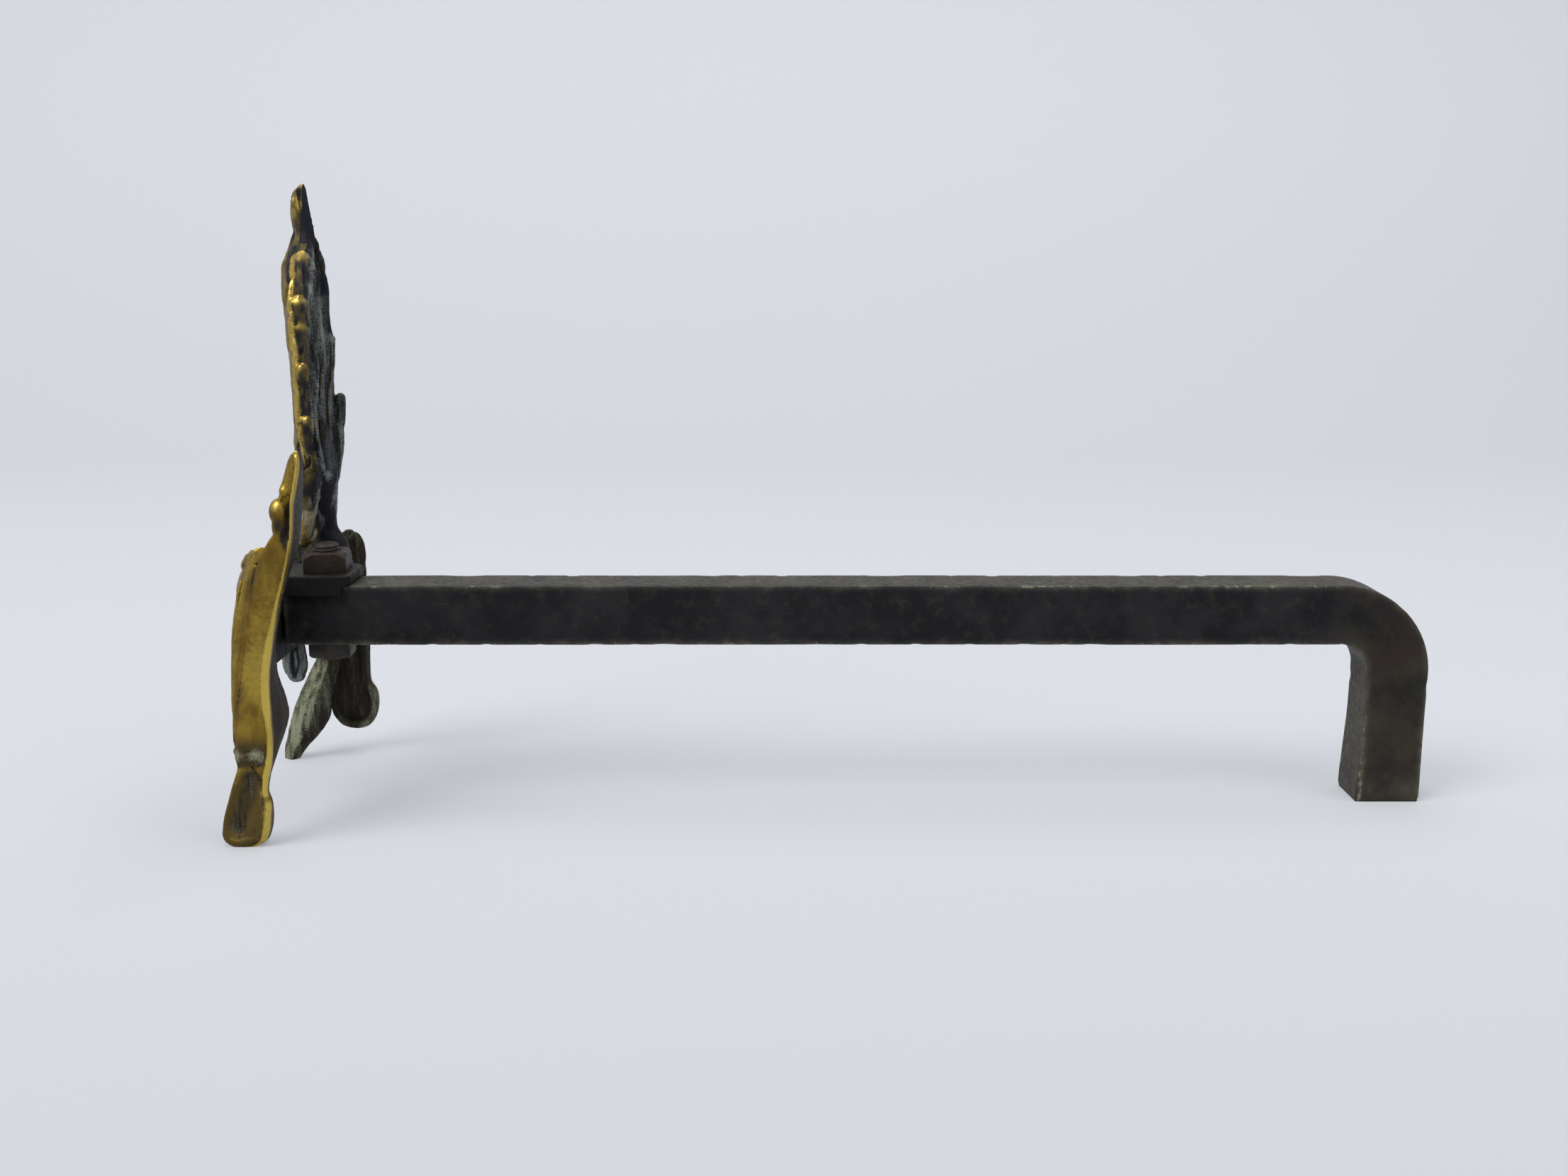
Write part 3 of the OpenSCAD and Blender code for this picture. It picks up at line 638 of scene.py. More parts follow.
FAR_LOW = 11.4
FAR_HIGH = 102.5
FAR_FORE = [
    (FAR_LOW, 6.4), (12.6, 2.6), (15, 0), (19, -2.3), (26, -2.9), (40, -2.6), (60, -2.2), (80, -1), (94, 1),
    (99, 3), (FAR_HIGH, 7),
]
FAR_BACK = [
    (FAR_LOW, 8.6), (12.6, 12.6), (15, 15.9), (20, 18.3), (25, 18.8), (29, 18.2), (33, 15.9), (40, 15.5),
    (50, 15.8), (70, 14.2), (88, 13), (95, 14), (99, 13.6), (FAR_HIGH, 10),
]
FAR_TAPER = [(FAR_LOW, 0.3), (16, 0.8), (22, 1), (94, 1), (FAR_HIGH, 0.35)]
STRAP_HIGH = 50
STRAP_MID = [(0, -18.5), (5, -16.6), (11, -13), (19, -9.3), (28, -7.4), (38, -3.8), (STRAP_HIGH, 0.5)]
STRAP_HALF = [(0, 3.5), (5, 5.2), (11, 7.2), (19, 8.9), (28, 7.9), (38, 6.8), (STRAP_HIGH, 5)]
STRAP_Y = [(0, 50), (14, 50.5), (28, 53), (40, 56.5), (STRAP_HIGH, 59)]
STRAP_DEEP = [(0, 3.4), (10, 4.6), (25, 5.0), (STRAP_HIGH, 3.6)]


def cheek(s, heights, fore, back, k, reach_in, lean, bulge):
    """L-shaped casting: a cheek along X and a flange inward from its back
    edge, on the near side (s = -1) or the far side (s = 1). k is the share
    of the full wall."""
    thick = WALL * k
    w = back - fore
    r = np.maximum(reach_in, thick * 1.4)
    tip = np.minimum(1.2, w * 0.3)
    loop = [
        (back + lean - 0.4 * k, r),
        (back + lean * 0.5 + 0.3 * k, r * 0.6),
        (back + 0.3 * k, 3.4 * k),
        (back, 1.9 * k),
        (back - 0.9 * k, 0.9),
        (back - w * 0.25, 1 - bulge * 0.75),
        (back - w * 0.5, 1 - bulge),
        (back - w * 0.78, 1 - bulge * 0.6),
        (fore + tip, 1.1),
        (fore, 1.3 + 0.9 * k),
        (fore, thick + 0.1),
        (fore + tip, thick + 0.7),
        (back - w * 0.6, thick + 0.8 - bulge * 0.8),
        (back - thick - 0.6 * k, thick + 0.7),
        (back - thick * 0.75 + lean * 0.3, mix(thick, r, 0.5)),
        (back - thick * 0.7 + lean, r - 0.6 * k),
        (back - thick * 0.3 + lean, r + 0.3 * k),
    ]
    return ring_skin(np.stack([places(f, s * (SIDE - y), heights) for f, y in loop], 1))


def screw_places(node):
    """Where a leg's two screws lie: (y, z) each."""
    low, high = box_mm(node)
    return [((low[1] + high[1]) / 2, z) for z in (low[2] + SCREW_INSET, high[2] - SCREW_INSET)]


def screw_ears(s, node):
    """A leg's two ears behind the shell, each under its screw's head."""
    corners = np.array([v.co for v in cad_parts[node].data.vertices]) / MM
    out = SIDE - WALL / 2
    forms = []
    for _, z in screw_places(node):
        # The screw's head reaches furthest toward the fire
        top = corners[np.abs(corners[:, 2] - z) < 4, 0].max() - FORE
        f = top - SCREW_HEAD - EAR_DEEP
        span = (z - EAR_TALL / 2, z + EAR_TALL / 2)
        forms.append(block((f, f + EAR_DEEP), (s * (out - EAR_WIDE), s * out), span, 6))
    return forms


def face_line(points, count):
    """Curve through (f, z) places on the near cheek."""
    return spline([(f, FACE_Y, z) for f, z in points], count)


def near_forms():
    """Near cheek with its foot, its ridge, its bud and the leaf above it."""
    z = np.linspace(0, NEAR_HIGH, 220)
    outlines = (NEAR_FORE, NEAR_BACK, NEAR_TAPER, NEAR_FLANGE, NEAR_LEAN, NEAR_BULGE)
    forms = [cheek(-1, z, *(along(outline, z) for outline in outlines))]
    # Rolled ridge up the back edge, widest below the rail
    cos, sin = circle(14)
    for low, high in ((2.5, 19.5), (18.0, 152.0)):
        at = np.linspace(low, high, 60)[:, None]
        r = along(RIDGE_R, at)
        f = along(NEAR_BACK, at) - r * 0.9 + r * cos
        forms.append(ring_skin(places(f, -SIDE + 1.25 + 1.2 * sin, at)))
    # Bud, pear-shaped, on its base, which is painted dark as shade
    forms.append(ball((16.5, -61.9, 130.6), (3.9, 3.9, 5.2)))
    forms.append(ball((16.4, -62.2, 125.0), (3.0, 3.1, 6.0)))
    forms.append(ball((19.3, -62.4, 138.6), (2.2, 2.8, 2.5)))
    leaf = [
        (20.0, -62.2, 139.5), (20.9, -62.3, 143), (21.9, -62.4, 146.4), (22.9, -62.5, 150.0),
        (23.5, -62.6, 151.6),
    ]
    bead = [(4.2, -63.2, 99), (3.2, -63.6, 94), (2.6, -63.7, 88), (1.9, -63.2, 81.5)]
    # Roll that closes the seam
    at = np.array([42, 50, 60, 70, 80, 90, 100, 106, 110])
    roll = places(along(NEAR_SEAM, at) - 0.9 * ease(at, 34, 56), -62.6, at)
    # Lower lip, fore rim and upper rim of the foot
    lip = [(-10.6, -62.4, 5.0), (-8.4, -63.6, 2.4), (-3.4, -63.9, 2.2), (1.6, -63.6, 3.4)]
    rim = [(-11.4, -63.0, 6), (-9.8, -63.6, 13), (-7.0, -63.7, 23), (-4.8, -63.8, 30)]
    brow = [(-4.9, -62.8, 38), (-2.4, -63.8, 36.2), (2.4, -63.9, 37), (6.4, -63.4, 39)]
    forms += tubes(
        (leaf, [2.1, 1.8, 1.7, 1.6, 1.2], 30, 16, 1.2),
        (bead, [0.7, 1.2, 1.4, 0.8], 30, 12),
        (roll, [0.8, 1.5, 1.6, 1.5, 0.9], 120, 12),
        (lip, [1.6, 2.0, 2.0, 1.5], 30, 12),
        (rim, [1.3, 1.1, 0.9, 0.8], 36, 12),
        (brow, [1.6, 2.2, 2.2, 1.5], 30, 12),
    )
    return forms + screw_ears(-1, "near_leg_screws")


# Lines on the near cheek: the hollow and the creases of its foot, the groove
# up its face, the notch behind its bud, and the seam with the shell
HOLLOW_LINE = face_line([(-6.6, 8), (-4.5, 14), (-1.9, 21), (-0.3, 27)], 20)
CREASE_LINE = face_line([(-6.0, 33.4), (-3.2, 31.6), (0.6, 31.6), (4.0, 33.2)], 30)
FOLD_LINE = face_line([(0.7, 32), (2.5, 27), (3.8, 21), (4.6, 15)], 30)
GROOVE_LINE = face_line([(6.4, 110), (5.1, 104), (4.9, 97), (4.3, 88), (2.9, 80), (0.6, 70), (-2.2, 58)], 60)
NOTCH_LINE = face_line([(19.6, 121), (20.2, 127), (20.6, 133.5)], 20)
SEAM_LINE = face_line([(9.5, 112), (6.2, 105), (4.2, 97), (2.3, 86), (-0.4, 70), (-3.2, 58), (-5.4, 50)], 60)


def on_face(p):
    """The points, moved onto the plane of those lines."""
    return p * [1, 0, 1] + [0, FACE_Y, 0]


def near_relief(p, n):
    q = on_face(p)
    f, _, z = p.T
    fore = along(NEAR_FORE, z)
    back = along(NEAR_BACK, z)
    dish = ease(5.6 - reach(q, HOLLOW_LINE), 0, 5.0)
    deep = -2.2 * dish - 0.6 * near_curve(q, CREASE_LINE, 1.2)
    cuts = 0.6 * near_curve(q, FOLD_LINE, 0.8) + 0.25 * near_curve(q, GROOVE_LINE, 0.7)
    deep -= cuts + 0.9 * near_curve(q, NOTCH_LINE, 0.7)
    # The face is hammered a little hollow between its seam and its ridge
    sunken = bell(f, mix(fore, back, 0.52), (back - fore) * 0.36)
    deep -= 0.8 * sunken * ease(z, 48, 62) * ease(z, 122, 108)
    deep += streaks(p, 0.14, 1.2, 5) * 0.3 * dish * ease(z, 31, 28)
    lines = streaks(p, 0.12, 1.6, 3) * 0.1 * ease(z, 2, 30)
    pits = ease(noise(p, 1.1, 9), 0.4, 0.85) * ease(f - back, -3, -1)
    outer = ease(-n[:, 1], 0.2, 0.7)
    return outer * (deep + lines - 0.25 * pits) + dents(p, (0.18, 6, 7), (0.04, 1.6, 8))


def near_wear_and_light(p, n):
    f, y, z = p.T
    nx, ny, _ = n.T
    q = on_face(p)
    outer = ease(-ny, -0.1, 0.45) * ease(-SIDE + 6.0 - y, 0, 1.5)
    behind = along(NEAR_BACK, z) - f
    # Rubbed gilt along the rolled ridge, with a painted highlight where it rounds over
    width = 1.7 * along(RIDGE_R, z)
    ridge = (1 - ease(behind, width, width + 0.6)) * ease(-SIDE + 2.6 - y, 0, 0.8)
    ridge *= (1 - 0.8 * bell(z, 19.5, 1.4)) * along(RIDGE_GOLD, z)
    face = outer * ease(z, 44, 66) * ease(z, 124, 112)
    warm = face * (0.27 + 0.26 * bell(z, 72, 14) - 0.12 * ease(z, 88, 108)) * ease(behind, 16, 5)
    # Painted highlight on the top of the bud
    bud_highlight = 0.75 * spot(p, [15.6, FACE_Y, 133.6], [2.6, 5, 2.8])
    bud_low = 0.1 * spot(p, [16.0, FACE_Y, 127.5], [3.6, 5, 6.0])
    leaf = 0.3 * ease(z, 136.5, 140) * outer
    lip = 0.08 * ease(z, 7.5, 3.5) * outer * ease(f, -7, 1)
    foot_edge = 0.3 * ease(z, 30, 24) * ease(f, 1.0, 4.5) * outer

    # Darker away from the ridge, toward the top and along the seam line; darker toward the bottom too, as
    # painted shade where the face turns down from the light
    brown = face * (0.2 * ease(behind, 7, 14) + 0.5 * ease(z, 70, 46) + 0.2 * ease(z, 84, 100))
    brown += 0.16 * near_curve(q, SEAM_LINE, 0.9)
    dish = ease(6.2 - reach(q, HOLLOW_LINE), 0, 4)
    # Painted shade at the pinch above the foot
    pinch_shade = 0.6 * ease(z, 50, 39) * ease(z, 28, 34)
    foot = 0.5 * ease(z, 34, 24) * ease(f, 7, 3)
    # Painted shade under the bud and on its lower part
    bud_shadow = spot(p, [18.6, FACE_Y, 121.5], [1.9, 6, 6.5])
    bud_lower_shade = 0.75 * spot(p, [16.5, FACE_Y, 126.0], [3, 6, 3.6])
    back_face = most(ease(-ny, 0.3, -0.1), ease(y + SIDE, 2.4, 4.2) * ease(nx, 0.1, 0.5))
    top = 0.3 * ease(z, 96, 112) * ease(z, 124, 116)
    dark = most(brown, dish * 0.62, pinch_shade, foot, bud_shadow, bud_lower_shade, back_face, top)
    dark = most(dark, near_curve(q, NOTCH_LINE, 1.0))
    surface_marks = 0.55 * bell(z, 36.6, 3.2) * outer * ease(behind, 1.5, 4)
    return dict(
        gold=most(ridge, bud_highlight, bud_low, leaf, warm, lip, foot_edge),
        dark=dark - ridge * 0.8,
        bloom_and_lit_side=most(surface_marks, near_curve(q, FOLD_LINE, 0.9) * 0.3 * outer, dish * 0.22),
    )


def near_leg(material):
    """Near scrolled leg, the gilt face that the photograph shows."""
    obj = cast("near_leg_cast", near_forms(), near_relief, voxel=0.45)
    finish_piece(obj, near_wear_and_light, material, "near_scroll_leg")


def strap():
    """Foot strap with a soft ridge down its near side."""
    z = np.linspace(0, STRAP_HIGH, 70)[:, None]
    u = np.linspace(-1, 1, 26)
    side = np.where(u < 0.2, (0.2 - u) / 1.2, (u - 0.2) / 0.8)
    across = np.concatenate([u, u[1:-1][::-1]])
    deep = np.concatenate([side**1.5 - 1, (1 - u[1:-1] ** 2)[::-1]])
    f = along(STRAP_MID, z) + along(STRAP_HALF, z) * across
    return ring_skin(places(f, along(STRAP_Y, z) + along(STRAP_DEEP, z) * deep, z))


def far_forms():
    """Far cheek with its dished lobe, its scroll and its foot strap."""
    z = np.linspace(FAR_LOW, FAR_HIGH, 130)
    taper = along(FAR_TAPER, z)
    forms = [cheek(1, z, along(FAR_FORE, z), along(FAR_BACK, z), taper, 8 * taper, 0, 0.95), strap()]
    # Rolled rim round the dished lobe
    at = np.array([52, 44, 36, 32, 29, 25, 20, 16, 13.4])
    under = [(8, 60.6, 12.6), (3.2, 60.6, 14), (0, 60.6, 18), (-1.2, 60.6, 25), (-1, 61.0, 34)]
    rim = np.concatenate([places(along(FAR_BACK, at) - 1.2, 60.6, at), under])
    scroll = [
        (14.6, 58.4, 86), (15.6, 57.6, 93), (15.0, 57.2, 98.4), (13.2, 57.4, 101.2), (11.4, 57.8, 98.8),
        (12.0, 58.2, 94),
    ]
    forms += tubes(
        (rim, [1.0, 1.4, 1.8, 1.9, 1.7, 1.6, 1.2], 90, 12),
        (scroll, [1.9, 2.1, 2.0, 1.7, 1.4, 1.1], 48, 14),
    )
    # Stripes below the scroll
    for k in range(3):
        f = 11.6 + 1.9 * k
        stripe = [(f, 60.0, 72 + 3 * k), (f + 0.6, 59.4, 84), (f + 0.4, 59.8, 95 - 2 * k)]
        forms.append(tube(stripe, [0.7, 1.1, 0.7], 24, 10))
    return forms + screw_ears(1, "far_leg_screws")


def far_relief(p, n):
    f, y, z = p.T
    dish = np.clip(1 - (((f - 7) / 6.5) ** 2 + ((z - 22) / 9) ** 2), 0, 1) * (y > 54)
    relief = streaks(p, 0.15, 1.4, 23) * 0.22 - 1.4 * dish
    return ease(-n[:, 1], 0.1, 0.6) * relief + dents(p, (0.14, 4.5, 21), (0.06, 1.5, 22))


def far_wear_and_light(p, n):
    f, _, z = p.T
    outside = ease(n[:, 1], -0.1, 0.4)
    u = (f - along(STRAP_MID, z)) / along(STRAP_HALF, z)
    low = ease(f - mix(-1.5, 3.0, ease(z, 15, 40)), 1.5, -1.5) * ease(z, STRAP_HIGH, 40)
    lobe_rim = ease(f - along(FAR_BACK, z), -4.2, -1.5) * ease(z, 40, 26)
    lobe_low = ease(z, 17, 13.5) * ease(f, -2, 2)
    # Verdigris on the strap, laid paler on its left half as painted light on the side toward the lamps
    painted_lit_side = low * ease(u, 0.45, 0.0)
    return dict(
        gold=outside * 0.32 * (1 - low),
        dark=np.minimum((1 - outside) * 0.95 + low * 0.5, 0.95),
        bloom_and_lit_side=most(painted_lit_side * 0.66, low * 0.3, lobe_rim * 0.4, lobe_low * 0.3, (1 - outside) * 0.2),
    )


def far_leg(material):
    """Far leg, seen from inside."""
    obj = cast("far_leg_cast", far_forms(), far_relief)
    finish_piece(obj, far_wear_and_light, material, "far_scroll_leg")


# ------------------------------------------------------------------ shell

FLUTES = 9
FAN_LOW = 30.0
SHELL_FRONT = 0.9
SHELL_BACK = 4.75
POST_R = 5
LUG_SCREW_Y = 18.5
LUG_SCREW_Z = RAIL_TOP - 8
BORDER_STEP = 1.02
BOW_DEPTH = [(28, 3), (45, 5.5), (60, 10), (80, 14.8), (100, 15.7), (118, 15)]
# Heights of the shell's upper and lower edge, by y
RIM_LINE = [
    (-61, 117), (-52, 113.4), (-40, 108.2), (-28, 105), (-12, 103), (8, 102.4), (28, 102.4),
    (46, 102), (61, 100.5),
]
HEM_LINE = [
    (-61, 30), (-52, 34.5), (-40, 46.5), (-28, 58.5), (-14, 66.5), (2, 69.2), (16, 68), (27, 64),
    (37, 58.5), (47, 54), (61, 52.5),
]
# C-scroll of a border, by y and height
SCROLL = [
    (30, 93), (26, 88), (29, 83), (36, 84), (39, 90), (44, 97), (50, 96), (51.5, 84), (51, 72),
    (48, 64), (43, 64), (42, 69), (45, 71),
]
# How far the near border's rolls have parted from the seam
ROLL_OUT = [(40, 0), (50, 0.2), (60, 0.55), (80, 0.9), (103, 1)]


def shell_x(y, z):
    """Front surface of the shell, without its flutes."""
    u = (y + SEAM_Y) / (2 * SEAM_Y)
    seam = mix(along(NEAR_SEAM, z), along(FAR_FORE, z), u)
    stand = 4 * np.clip((z - 45) / 15, 0, 1)
    return seam - stand - along(BOW_DEPTH, z) * np.sin(math.pi * u)


def post(y, z, stop):
    """Round post on the back of the shell, up to stop."""
    f = np.linspace(shell_x(y, z) + 3.0, stop, 8)[:, None]
    cos, sin = circle(28)
    return ring_skin(places(f, y + POST_R * cos, z + POST_R * sin))


def scroll_line(s):
    """Middle of a border's C-scroll."""
    y, z = np.array(SCROLL).T
    drop, lift = (3, 2.2) if s < 0 else (0, 0.9)
    return places(shell_x(s * y, z - drop) + lift, s * y, z - drop)


def shell_forms():
    """Bowed plate with rolled edges, posts behind and a C-scroll along each border."""
    y = np.linspace(-SEAM_Y, SEAM_Y, 260)[:, None]
    z = mix(along(HEM_LINE, y), along(RIM_LINE, y), np.linspace(0, 1, 90))
    f = shell_x(y, z)
    forms = [two_sided(places(f + SHELL_FRONT, y, z), places(f + SHELL_BACK, y, z))]
    y = np.linspace(-SEAM_Y + 1.5, SEAM_Y - 1.5, 40)
    rim = along(RIM_LINE, y) - 1.5
    hem = along(HEM_LINE, y) + 1.4
    forms += tubes(
        (places(shell_x(y, rim) + 1.9, y, rim), [1.7, 2.1, 2.3, 2.1, 1.7], 160, 12),
        (places(shell_x(y, hem) + 2.2, y, hem), [1.4, 1.7, 1.9, 1.7, 1.4], 160, 12),
    )
    for s, node in ((-1, "near_leg_screws"), (1, "far_leg_screws")):
        forms.append(post(s * LUG_SCREW_Y, LUG_SCREW_Z, FLANGE_FORE))
        forms += [post(*place, shell_x(*place) + SHELL_BACK + 5) for place in screw_places(node)]
        forms.append(tube(scroll_line(s), [1.9, 1.2, 1.3, 1.6, 1.9, 1.9, 1.7, 1.5, 1.2, 1.8], 120, 12, 0.8))
    # Rolls that part from the near seam as they rise
    at = np.array([40, 50, 60, 70, 80, 90, 98, 103])
    for shift, y, r in ((-3.2, -60.0, 1.7), (-6.0, -57.4, 1.8)):
        roll = places(along(NEAR_SEAM, at) + shift * along(ROLL_OUT, at), y, at)
        forms.append(tube(roll, [0.7 * r, r, r, r, 0.5 * r], 120, 12))
    return forms


SCROLL_LINES = np.concatenate([spline(scroll_line(s), 70) for s in (-1, 1)])


def ribs(y, z):
    """0 in the shell's grooves, 1 on the crests between them."""
    return np.abs(np.sin(np.arctan2(y, z - FAN_LOW) * FLUTES * 2))


def shell_relief(p, n):
    _, y, z = p.T
    in_from_side = SEAM_Y - np.abs(y)
    inside = ease(in_from_side, 7, 15)
    above = ease(z - along(HEM_LINE, y), 2.5, 7)
    below = ease(along(RIM_LINE, y) - z, 2.5, 6)
    flute = (ribs(y, z) ** 0.55 - 0.75) * 1.5 * inside * above * below
    flute *= 1 - near_curve(p, SCROLL_LINES, 3.2, 4)
    flute -= 0.5 * (near_curve(p, SCROLL_LINES, 3.6, 6) - near_curve(p, SCROLL_LINES, 2.4, 6))
    line = 0.5 * np.cos((in_from_side + 0.6 * noise(p, 14, 34)) * BORDER_STEP)
    line += streaks(p, 0.06, 1.5, 31) * 0.22
    relief = flute + line * ease(np.abs(y), 34, 42)
    return ease(-n[:, 0], 0.15, 0.5) * relief + dents(p, (0.12, 5, 32), (0.05, 1.5, 33))


def shell_wear(p, n):
    f, y, z = p.T
    nx, ny, nz = n.T
    below_rim = along(RIM_LINE, y) - z
    face = most(ease(-nx, -0.1, 0.5), ease(-ny, -0.1, 0.3) * ease(-y, 52, 56), ease(nz, 0.1, 0.5) * 0.6)
    rib = ribs(y, z)
    rolled = most(ease(below_rim, 4.0, 2.0), ease(z - along(HEM_LINE, y), 4.0, 2.0))
    side_face = ease(np.abs(y), 40, 56)
    middle = 1 - side_face
    near = ease(-y, 50, 56)
    scroll = 0.5 * near_curve(p, SCROLL_LINES, 2.4, 4)
    bright = most(0.16 + 0.26 * rib * middle, 0.5 * rolled * middle, scroll, near * 0.34)
    ring = near_curve(p, SCROLL_LINES, 3.6, 6) - near_curve(p, SCROLL_LINES, 2.5, 6)
    groove = (1 - ease(rib, 0.1, 0.5)) * middle * 0.8 * (1 - near_curve(p, SCROLL_LINES, 3.4, 6))
    border = 0.5 - 0.5 * np.cos((SEAM_Y - np.abs(y)) * BORDER_STEP)
    lined = most(groove, ring * 0.6, side_face * (0.02 + 0.14 * border))
    seam = f - along(NEAR_SEAM, z)
    out = along(ROLL_OUT, z)
    creases = bell(seam, -1.7 * out, 0.7) + bell(seam, -4.7 * out, 0.7)
    return dict(
        gold=face * bright,
        dark=most((1 - face) * 0.9, face * lined, near * creases * 0.3),
        bloom_and_lit_side=most((1 - face) * 0.45, ease(below_rim, 3, 1) * 0.25),
    )


def shell(material):
    """Fluted scallop with a rolled rim and a C-scroll along each border."""
    obj = cast("shell_cast", shell_forms(), shell_relief, side=SEAM_Y)
    finish_piece(obj, shell_wear, material, "shell_front")


# ------------------------------------------------------------------ plume

PLUME_HIGH = 252.5
PLUME_RIB = [
    (122, 5.6), (132, 5), (147, 3.6), (160, 5.2), (181, 5.3), (196, 4.8), (210, 4.2), (218, 4.4),
    (224, 6.2), (229, 9.2), (233, 10.4), (237, 9.7), (244, 9.8), (249, 11.4), (PLUME_HIGH, 14.2),
]
PLUME_SWEEP = [
    (122, 3), (132, 8), (147, 11.5), (165, 12.5), (190, 13.5), (212, 13), (222, 10.5), (229, 7), (234, 4.2),
    (240, 2.6), (PLUME_HIGH, 0.2),
]
PLUME_HALF = [
    (122, 3.5), (132, 8), (147, 15.5), (160, 20.5), (178, 23), (196, 23), (210, 21.5), (220, 16.5),
    (227, 10), (233, 6.2), (240, 5.4), (246, 4.4), (250, 2.8), (PLUME_HIGH, 0.5),
]
PLUME_DRIFT = [(122, 14), (135, 9.5), (150, 4.5), (170, 1.5), (200, 0), (PLUME_HIGH, -2)]
# Back of the plume's far edge, and the middle and half width of its near edge
FAR_EDGE = [
    (105, 11), (114, 13), (122, 15), (130, 17), (140, 18.4), (150, 18.2), (160, 17.2), (172, 17),
    (180, 17.9), (188, 18.2), (197, 17.4), (205, 17.2), (215, 17.7), (222.7, 18.3), (229.6, 17.7),
    (236, 16.6), (244, 15.2), (250.8, 14.6), (PLUME_HIGH, 14.6),
]
EDGE_MID = [
    (126, 12.0), (140, 13.4), (150, 14.4), (163, 15.2), (172, 16.2), (182, 17.0), (196, 16.4), (210, 16.7),
    (218, 17.0), (226, 16.2), (232, 14.8),
]
EDGE_HALF = [
    (126, 2.6), (140, 3.0), (150, 3.2), (163, 3.4), (172, 3.7), (182, 3.9), (196, 4.0), (210, 4.0),
    (218, 3.9), (226, 3.1), (232, 1.8),
]
# Tongues of the near edge: tip, foot, half width, middle at the tip and at
# the foot, how far it lies back, how bright it is
TONGUES = [
    (225.6, 211, 3.2, 16.0, 16.6, 0.3, 0.8),
    (208.9, 193, 3.9, 16.3, 16.4, 0, 1.0),
    (198.6, 184, 3.7, 16.4, 16.8, 1.5, 0.55),
    (182.9, 161, 2.2, 16.0, 14.7, 0, 0.95),
    (161.9, 146, 2.8, 14.9, 14.0, 0.4, 0.8),
    (145.3, 128, 2.2, 13.8, 12.4, 0.8, 0.35),
]
# Long folds down the back: (t, height) places on the leaf, and radii
FOLDS = [
    ([(0.50, 222), (0.55, 204), (0.52, 178), (0.42, 152), (0.25, 132)], [0.8, 1.5, 1.9, 1.9, 1.5]),
    ([(0.76, 206), (0.74, 194), (0.70, 176), (0.62, 152), (0.4, 132)], [0.6, 1.2, 1.6, 2.0, 1.6]),
    ([(0.92, 190), (0.90, 180), (0.86, 168), (0.80, 152), (0.6, 134)], [1.5, 1.2, 1.3, 1.7, 1.5]),
]
# The two lobes that stand clear of the far edge
FAR_LOBES = [
    ([(13.6, 19, 134), (16.4, 21, 146), (18.6, 22, 157), (19.3, 22.2, 165.4)], [1.8, 2.2, 2.3, 2.3]),
    ([(13.4, 18.6, 124), (15.8, 20, 134), (17.6, 20.6, 144), (18.2, 20.8, 151.4)], [1.8, 2.3, 2.3, 2.0]),
]
# Place and radius of the stem, by height above the lug
STEM_HIGH = 62
STEM_PATH = [(0, 0), (7, -0.4), (12, -1.6), (18, -2.1), (25, -1.5), (35, -0.4), (46, 0.5), (STEM_HIGH, 1.5)]
STEM_SIDE = [(0, 0), (12, -1), (24, -5), (40, -11), (STEM_HIGH, -15)]
STEM_R = [
    (0, 5.6), (3, 6.6), (7, 6.8), (11, 6), (14, 4.8), (18, 4.7), (25, 5.4), (35, 6.2), (46, 5.6),
    (STEM_HIGH, 2),
]


def near_y(h):
    """Where the plume's near edge stands."""
    return along(PLUME_DRIFT, h) - along(PLUME_HALF, h)


def leaf_at(t, h, lift):
    """A place on the leaf: t from -1 (near edge) to 1 (far edge), lift is
    how far behind its front surface."""
    rib = along(PLUME_RIB, h)
    sweep = np.where(t < 0, along(PLUME_SWEEP, h), along(FAR_EDGE, h) - 2.8 - rib)
    return places(rib + sweep * np.abs(t) ** 1.9 + lift, along(PLUME_DRIFT, h) + along(PLUME_HALF, h) * t, h)


def front_veins(p, n):
    """On the leaf's front: its veins between the lobes, and its midrib."""
    _, y, z = p.T
    t = (y - along(PLUME_DRIFT, z)) / along(PLUME_HALF, z)
    out = np.abs(t)
    front = ease(-n[:, 0], 0.1, 0.5) * ease(z, 126, 136) * ease(z, 226, 218)
    turn = (z - 30 * out**0.8) / 15 + 0.3 * (t < 0)
    veins = bell(turn, np.round(turn), 0.085) * ease(out, 0.1, 0.3) * ease(out, 1.05, 0.85)
    return front * veins, front * bell(t, 0, 0.09)


def near_edge():
    """Thick near edge of the leaf, the bed that its tongues lie on."""
    h = np.linspace(126, 232, 150)[:, None]
    fade = along([(126, 0.7), (150, 1), (218, 1), (232, 0.5)], h)
    cos, sin = circle(28)
    f = along(EDGE_MID, h) + along(EDGE_HALF, h) * cos
    return ring_skin(places(f, near_y(h) + 6.2 + 2.8 * fade * sin, h))


def tongue(tip, foot, half, mid_top, mid_foot, back):
    """A round-topped tongue that stands proud at its tip and sinks below."""
    crown = half * np.linspace(0.05, 1, 14) ** 2
    s = np.concatenate([crown, np.linspace(half * 1.1, tip - foot, 26)])[:, None]
    z = tip - s
    round_off = np.sqrt(1 - (1 - np.clip(s / half, 0, 1)) ** 2)
    u = s / (tip - foot)
    y = near_y(z) + 2.9 + back + 3.6 * ease(u, 0.12, 0.9) + 0.7 * (1 - round_off)
    cos, sin = circle(26)
    f = mix(mid_top, mid_foot, u) + half * round_off * mix(1, 0.86, u) * cos
    return ring_skin(places(f, y + 2.5 * round_off**0.8 * sin, z)[::-1])


